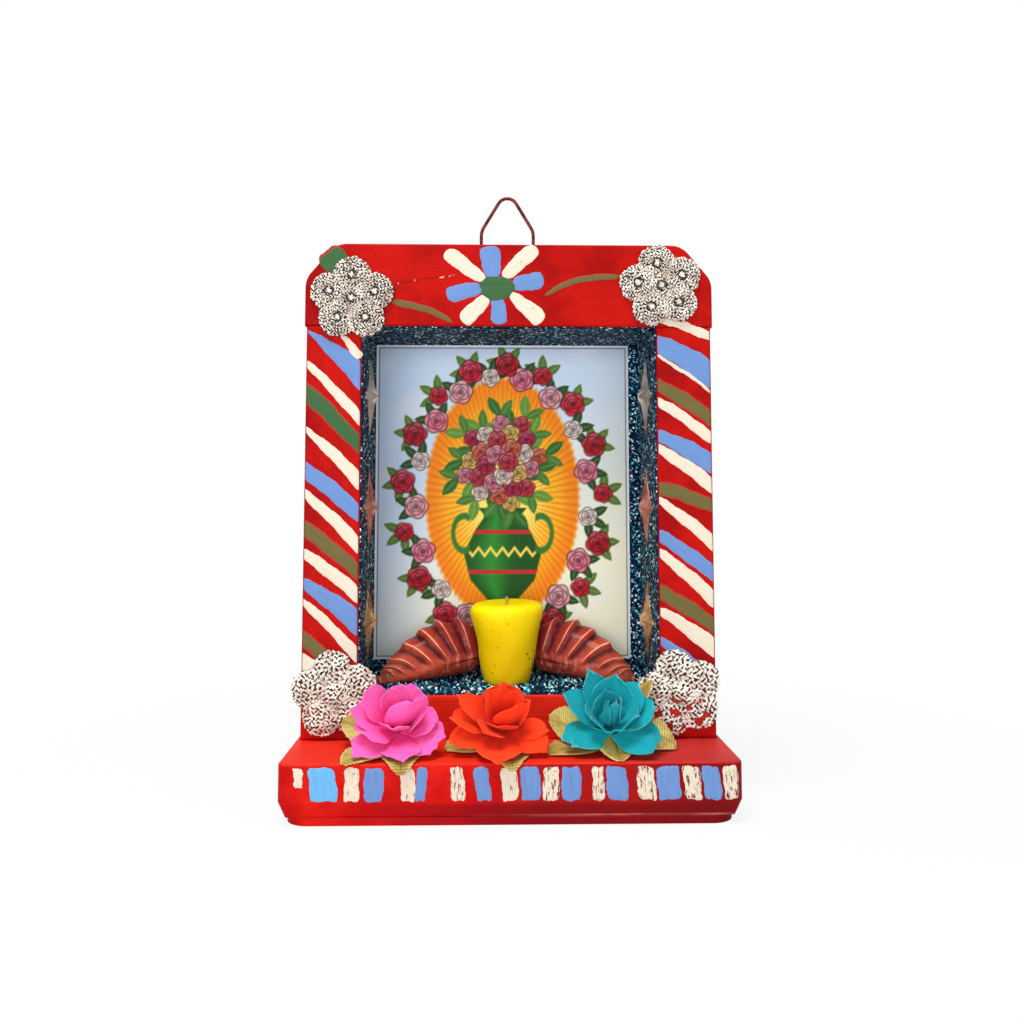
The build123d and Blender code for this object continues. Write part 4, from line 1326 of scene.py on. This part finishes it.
def rose_petal(petal, ring, tip, rng):
    """One petal on the stem. Its spine leaves at half its lift, steepens and rolls outward at the rim. The
    width is an egg shape, the sides are cupped with the square of their distance from the spine, and the rim
    is torn and ruffled by sines."""
    turn, belly_lift, length, half_width, *leans = petal
    lean = leans[0] if leans else 0.0
    start, seat, roll, cup = RINGS[ring]
    rows, columns = 17, 15
    share, across = lattice(rows, columns)
    v = 1 - (1 - share) ** 1.9
    u = 2 * across - 1
    bearing = math.radians(turn + rng.uniform(-3, 3))
    belly = math.radians(belly_lift)
    curl = math.radians(roll * rng.uniform(0.6, 1.3))
    phase = rng.uniform(0, 6.28, 5)
    path = np.linspace(0, 1, 60)
    slope = belly * (0.55 + 0.55 * ease(path, 0.0, 0.45)) - curl * ease(path, 0.4, 1.0)
    root = 0.5 * start
    step = (length + start - root) / (len(path) - 1)
    out = root + np.concatenate([[0], np.cumsum(np.cos(slope[1:]) * step)])
    up = seat + np.concatenate([[0], np.cumsum(np.sin(slope[1:]) * step)])
    torn = 0.03 * np.sin(3.7 * u + phase[0]) + 0.012 * np.sin(9.1 * u + phase[1]) - 0.03
    place = v * (1 + (torn - 0.08 * u**2) * v**3)
    end = 1 - np.clip((v - 0.42) / 0.59, 0, 1) ** tip[0]
    width = half_width * (0.44 + 0.56 * ease(v, 0.0, 0.6)) * end ** tip[1]
    side = u * width * (1 + 0.04 * np.sin(11 * v + phase[2])) + lean * length * v**1.5
    ruffle = 0.07 * half_width * v**2 * (np.sin(2.6 * u + phase[3]) + 0.45 * np.sin(5.6 * u + phase[4]))
    offset = cup * width * u**2 + ruffle - 0.35 * np.exp(-((u / 0.22) ** 2)) * np.sin(np.pi * v)
    tilt = np.interp(place, path, slope)
    radius = np.interp(place, path, out) - np.sin(tilt) * offset
    height = np.interp(place, path, up) + np.cos(tilt) * offset
    a = radius * np.cos(bearing) - side * np.sin(bearing)
    b = radius * np.sin(bearing) + side * np.cos(bearing)
    local = triples(a, b, height)
    dyed_from = 0.5 if ring == "bud" else 0.0
    uv = pairs(across, dyed_from + (1 - dyed_from) * v)
    return local, weave_faces(rows, columns), uv


def in_rose(local, x, rest):
    """Places round a rose's stem as places in the row frame. Petals that reach the shelf lie over it, every
    second one a little higher, and droop past its edge."""
    origin = np.array([x, ROSE_Y, ROSE_Z])
    points = origin + local[:, :1] * RIGHT + local[:, 1:2] * AWAY + local[:, 2:] * LEAN
    past_edge = np.maximum(SHELF_FRONT - points[:, 1], 0)
    points[:, 2] = np.maximum(points[:, 2], SHELF_TOP + rest - 0.5 * past_edge)
    return points


def make_rose(colour_name, x, cloth, seed):
    """Four rings of petals round one stem, each ring a piece of its own."""
    rng = np.random.default_rng(seed)
    for ring, petals in PETALS[colour_name].items():
        tip = BUD_TIP if ring == "bud" else TIPS[colour_name]
        shapes = []
        for number, petal in enumerate(petals):
            local, faces, uv = rose_petal(petal, ring, tip, rng)
            shapes.append((in_rose(local, x, PETAL_RESTS[number % 2]), faces, uv))
        points, faces, uv = joined(shapes)
        node = f"rose_{colour_name}_{ring}" + ("" if ring == "bud" else "_petals")
        made = add_piece(f"{colour_name}_rose_{ring}", points, faces, cloth, (node,), uv=uv)
        thicken(made, CLOTH_THICKNESS, 1)


LEAF_LENGTH, LEAF_HALF_WIDTH = 23.5, 6.4


def leaf_blade(x, leaf, seed):
    """One leaf from the calyx: its line lies on the shelf, rises, or comes down from an arch, and where it
    passes the shelf's edge it bends down over it. The half width is a sine drawn flat, the rim is notched,
    the blade is folded along its rib, and outside the petals its far side rolls up."""
    heading, rise, stretch, arch, roll = leaf
    rows, columns = 30, 9
    along, across = lattice(rows, columns)
    u = 2 * across - 1
    rng = np.random.default_rng(seed)
    phase = rng.uniform(0, 6.28)
    turn = math.radians(heading)
    climb = math.radians(rise)
    out = np.array([math.cos(turn), math.sin(turn)])
    root_level = 2.6 if rise else 0.0
    root = np.array([x, CALYX_Y - root_level * math.tan(ROSE_TILT), SHELF_TOP + 0.35 + root_level])
    run = along * LEAF_LENGTH * stretch
    to_edge = (SHELF_FRONT - root[1]) / out[1] - 0.5 if out[1] < -0.3 and not rise else 1e3
    past = np.clip(run - to_edge, 0, None)
    bend = 2.6
    angle = np.clip(past / bend, 0, 1.35)
    spare = past - angle * bend
    level = np.where(past > 0, to_edge + bend * np.sin(angle) + spare * np.cos(angle), run)
    drop = bend * (1 - np.cos(angle)) + spare * np.sin(angle)
    notch = 1 + 0.05 * np.sin(70 * along)
    half = LEAF_HALF_WIDTH * notch * np.sin(np.pi * np.clip(along, 0.012, 0.988)) ** 0.55
    side = u * half
    hinge = 0 if rise else half * abs(out[0])
    standing = roll * ease(along, 0.3, 0.75) * (side * out[0] + hinge) + arch * (1 - along) ** 1.3
    fold = 0.10 * np.abs(u) * half + 0.25 * np.sin(9 * along + phase) * np.abs(u) * along
    px = root[0] + level * math.cos(climb) * out[0] - side * out[1]
    py = root[1] + level * math.cos(climb) * out[1] + side * out[0]
    pz = root[2] + level * math.sin(climb) - drop + fold * np.cos(angle) + standing
    py = py - fold * np.sin(angle) * 0.8
    points = triples(px, py, pz)
    return points, weave_faces(rows, columns), pairs(across, along)


def make_leaves(colour_name, x, leaves, material, seed):
    """All the leaves of one rose."""
    points, faces, uv = joined([leaf_blade(x, leaf, seed + number) for number, leaf in enumerate(leaves)])
    node = f"rose_{colour_name}_leaves"
    made = add_piece(f"{colour_name}_rose_leaves", points, faces, material, (node,), uv=uv)
    thicken(made, GAUZE_THICKNESS)


def make_calyx(colour_name, x, material):
    """The wrapped stem under a rose: a ribbed tube that narrows from the shelf up to the petals. Its rings
    lie flat at the shelf and stand across the stem at the petals."""
    rows, columns = 16, 40
    foot_radius, narrowing, ribs = 3.0, 1.6, 8
    share, turn = turn_lattice(rows, columns)
    radius = (foot_radius - narrowing * share**1.5) * (1 + 0.05 * np.cos(ribs * turn))
    foot = np.array([x, CALYX_Y, SHELF_TOP])
    head = np.array([x, ROSE_Y, ROSE_Z])
    blend = share[..., None]
    back = np.array([0.0, 1.0, 0.0]) * (1 - blend) + AWAY * blend
    points = foot + (head - foot) * blend
    points = points + RIGHT * (radius * np.cos(turn))[..., None] + back * (radius * np.sin(turn))[..., None]
    faces, caps = tube_faces(rows, columns)
    node = f"rose_{colour_name}_calyx"
    add_piece(f"{colour_name}_rose_calyx", points, faces, material, (node,), caps)


leaf_gauze = gauze("leaf_gauze")
calyx_cloth = stem_cloth("calyx_cloth")
# Cloths: face, heart and edge colours and fray. The heart is darker, painted shade, for pink and orange, and
# brighter, painted light in its shaded cup, for turquoise
PINK = petal_cloth("pink_cloth", tint(255, 104, 190), tint(240, 44, 136), tint(255, 164, 212), 0.3)
ORANGE = petal_cloth("orange_cloth", tint(255, 66, 22), tint(214, 30, 8), tint(255, 116, 70), 0.3)
TURQUOISE = petal_cloth("turquoise_cloth", tint(18, 156, 168), tint(4, 188, 198), tint(140, 224, 214), 0.32)
# Roses: the colour, the place along the shelf, the cloth, and for each leaf its heading, its rise, its length
# as a share, the height of its arch and how far it rolls
ROSES = (
    ("pink", -35.8, PINK, ((233, 0, 1.1, 0, 0.2), (276, 0, 1.02, 0, 0), (169, 14, 0.86, 0, 0.7))),
    ("orange", -2.0, ORANGE, ((200, 0, 0.85, 0, 0.3), (276, 0, 0.98, 0, 0))),
    (
        "turquoise",
        31.8,
        TURQUOISE,
        (
            (212, 0, 1.0, 0, 0.2),
            (275, 0, 0.84, 9.0, 0),
            (346, 0, 0.95, 0, 0.7),
            (18, 47, 1.0, 0, 0),
            (173, 16, 0.85, 0, 0.8),
        ),
    ),
)
for number, (colour_name, rose_x, cloth, leaves) in enumerate(ROSES):
    make_rose(colour_name, rose_x, cloth, 70 + number)
    make_leaves(colour_name, rose_x, leaves, leaf_gauze, 90 + 10 * number)
    make_calyx(colour_name, rose_x, calyx_cloth)


# Lace flowers

def ball(rows=6, columns=8):
    """A small ball of radius 1 from rings of latitude, with its two poles closed by caps."""
    share, turn = turn_lattice(rows, columns)
    latitude = 1.25 * (2 * share - 1)
    points = triples(np.cos(latitude) * np.cos(turn), np.cos(latitude) * np.sin(turn), np.sin(latitude))
    return points, *tube_faces(rows, columns)


def crimped_thread(a, b, tempo, breadth, rng):
    """How far the thread stands up at each place: the place is shaken by sines, then sixteen plane waves of
    nearly one length, in all directions, add up to a maze, and the thread runs along its crests. A higher
    breadth takes in more of their flanks."""
    count = 16
    heading = np.arange(count) * np.pi / count + rng.uniform(-0.1, 0.1, count)
    phase = rng.uniform(0, 2 * np.pi, count)
    pace = tempo * rng.uniform(0.85, 1.15, count)
    a_here = a + 0.3 * np.sin(2.3 * b + phase[0]) + 0.12 * np.sin(6.1 * b + phase[1])
    b_here = b + 0.3 * np.sin(2.6 * a + phase[2]) + 0.12 * np.sin(5.7 * a + phase[3])
    run = a_here[..., None] * np.cos(heading) + b_here[..., None] * np.sin(heading)
    waves = np.sin(pace * run + phase).sum(-1) / math.sqrt(count / 2)
    return ease(waves + breadth, -0.75, 0.9)


def make_lace_flower(place_name, spot, lace, material, seed):
    """Six round pads of plated lace, five in a ring and a small one over the middle. Each pad is a domed disc
    with soft folds and a wavering outline, under a maze of crimped thread, and small knots hem it. A pad may
    have a knob in a dark ring at its middle, and worn lace has gaps where a slower maze stands high."""
    centre_x, centre_z, flower_turn = spot
    tempo, breadth, knob, worn = lace
    rng = np.random.default_rng(seed)
    petals, reach, petal_radius, eye_radius, knots = 5, 8.2, 6.5, 4.2, 24
    rows, columns = 52, 192
    share, angle = turn_lattice(rows, columns)
    share = share * 0.99 + 0.01
    pad_faces, pad_caps = tube_faces(rows, columns)
    knot_points, knot_faces, knot_caps = ball()
    shapes, caps, spots, sizes = [], [], [], []
    for petal in range(petals + 1):
        in_ring = petal < petals
        bearing = math.radians(flower_turn) + 2 * math.pi * petal / petals
        full, lift, away = (petal_radius, 0.9, reach) if in_ring else (eye_radius, 1.5, 0.0)
        middle = away * np.array([math.cos(bearing), math.sin(bearing)])
        shift = rng.uniform(0, 2 * np.pi, 3)
        waver = 0.04 * np.cos(5 * angle + shift[0]) + 0.025 * np.cos(12 * angle + shift[1])
        radius = full * share * (1 + waver * share**3)
        a = radius * np.cos(angle)
        b = radius * np.sin(angle)
        thread = crimped_thread(a, b, tempo, breadth, rng)
        low = ease(-(middle[1] + b), -4.0, 6.0) * ease(share, 0.0, 0.2)
        gap = worn * ease(crimped_thread(a, b, 1.2, 0.0, rng), 0.84, 1.0) * low
        thread = thread * (1 - gap)
        if knob:
            uneven = 0.85 + 0.15 * np.sin(2 * angle + shift[0])
            moat = ease(1.3 - np.abs(radius - 1.7 * knob) / (0.6 * knob), 0.0, 1.0) * uneven
            thread = np.maximum(thread * (1 - moat), 0.85 * ease(knob - radius, 0.0, 0.35))
        folds = 0.4 * np.sin(4 * angle + shift[2]) * share * (1 - share**4)
        height = lift + 1.2 * (1 - share**2) + 0.75 * thread + folds
        height[-1] = 0.05
        # Painted shade: the relief fades towards each pad's rim, where the pads meet
        relief = thread * (0.62 + 0.38 * ease(1 - share, 0.08, 0.42))
        points = triples(middle[0] + a, middle[1] + b, height)
        shapes.append((points, pad_faces, relief.ravel(), gap.ravel()))
        caps.extend(cap + petal * rows * columns for cap in pad_caps)
        hem = 2 * np.pi * np.arange(knots) / knots + rng.uniform(-0.08, 0.08, knots)
        hem_a = middle[0] + full * 0.94 * np.cos(hem)
        hem_b = middle[1] + full * 0.94 * np.sin(hem)
        spots.append(triples(hem_a, hem_b, lift + 0.1))
        sizes.append(rng.uniform(0.4, 0.65, knots) * full / petal_radius)
    spots = np.concatenate(spots)
    sizes = np.concatenate(sizes)
    starts = np.arange(len(spots))[:, None] * len(knot_points)
    beads = (spots[:, None, :] + knot_points * sizes[:, None, None]).reshape(-1, 3)
    bead_faces = (knot_faces + starts[..., None]).reshape(-1, 4)
    # Painted shade: each knot is dark on its side towards the wall
    bead_shade = np.tile(np.clip(0.5 + 0.5 * knot_points[:, 2], 0, 1), len(spots))
    for cap in knot_caps:
        caps.extend(cap + starts + (petals + 1) * rows * columns)
    shapes.append((beads, bead_faces, bead_shade, np.zeros(len(beads))))
    local, faces, relief, gap = joined(shapes)
    points = triples(centre_x + local[:, 0], FRONT - local[:, 2], centre_z + local[:, 1])
    colour = ("relief", triples(relief, gap, gap))
    node = f"lace_flower_{place_name}"
    add_piece(f"lace_{place_name}", points, faces, material, (node,), caps, colour=colour)


# The second colour of each lace is the painted shade in its hollows
close_lace = silver_lace("close_lace", tint(252, 242, 230), tint(40, 32, 30))
open_lace = silver_lace("open_lace", tint(255, 248, 236), tint(72, 30, 28))
# Lace flowers: the middle of each and its turn, then the tempo of its maze in radians a millimetre, the
# breadth of its thread, the radius of its knobs and the depth of its gaps, and the finish
LACE_FLOWERS = {
    "upper_left": ((-54.4, 168.3, 18.0), (6.0, 0.0, 0.85, 0.0), close_lace),
    "upper_right": ((52.8, 173.1, 28.0), (6.0, 0.14, 0.9, 0.0), close_lace),
    "lower_left": ((-58.6, 34.1, 24.0), (4.4, 0.35, 0.0, 0.55), open_lace),
    "lower_right": ((57.6, 34.1, 32.0), (4.2, 0.3, 0.0, 1.0), open_lace),
}
for number, (place_name, (spot, lace, material)) in enumerate(LACE_FLOWERS.items()):
    make_lace_flower(place_name, spot, lace, material, 120 + number)


# Floor and background

def seen_rays(f):
    """1 for what the eye sees, straight, mirrored or through a piece, and 0 for the light on other things."""
    kinds = ("Camera", "Glossy", "Transmission")
    straight, mirrored, through = (f.node("ShaderNodeLightPath", output=f"Is {kind} Ray") for kind in kinds)
    return straight.math("MAXIMUM", mirrored.math("MAXIMUM", through))


def make_stage():
    """A wide pale floor that shows as white and keeps the object's shadow, and a white world for the eye and
    for reflections that lights the object plainly."""
    floor_size = 6.0
    mesh = bpy.data.meshes.new("floor")
    half = floor_size / 2
    outline = [(-half, -half, 0), (half, -half, 0), (half, half, 0), (-half, half, 0)]
    mesh.from_pydata(outline, [], [(0, 1, 2, 3)])
    floor = bpy.data.objects.new("floor", mesh)
    bpy.context.scene.collection.objects.link(floor)
    f = Finish("pale_floor")
    paint = f.node("ShaderNodeBsdfDiffuse", {}, {"Color": (0.86, 0.86, 0.86, 1.0)})
    glow = f.node("ShaderNodeEmission", {}, {"Color": (1.0, 1.0, 1.0, 1.0), "Strength": 1.0})
    away = f.node("ShaderNodeVectorMath", {"operation": "LENGTH"}, {0: f.place()}, "Value")
    white = seen_rays(f) * (0.86 + f.span(away, 0.08, 0.30) * 0.14)
    both = f.node("ShaderNodeMixShader", {}, {0: white, 1: paint, 2: glow})
    f.node("ShaderNodeOutputMaterial", {}, {"Surface": both})
    mesh.materials.append(f.material)

    world = bpy.data.worlds.new("studio")
    world.use_nodes = True
    bpy.context.scene.world = world
    w = Finish("studio", world.node_tree)
    strength = 0.34 + seen_rays(w) * 0.66
    sky = w.node("ShaderNodeBackground", {}, {"Color": (1.0, 1.0, 1.0, 1.0), "Strength": strength})
    w.node("ShaderNodeOutputWorld", {}, {"Surface": sky})


make_stage()
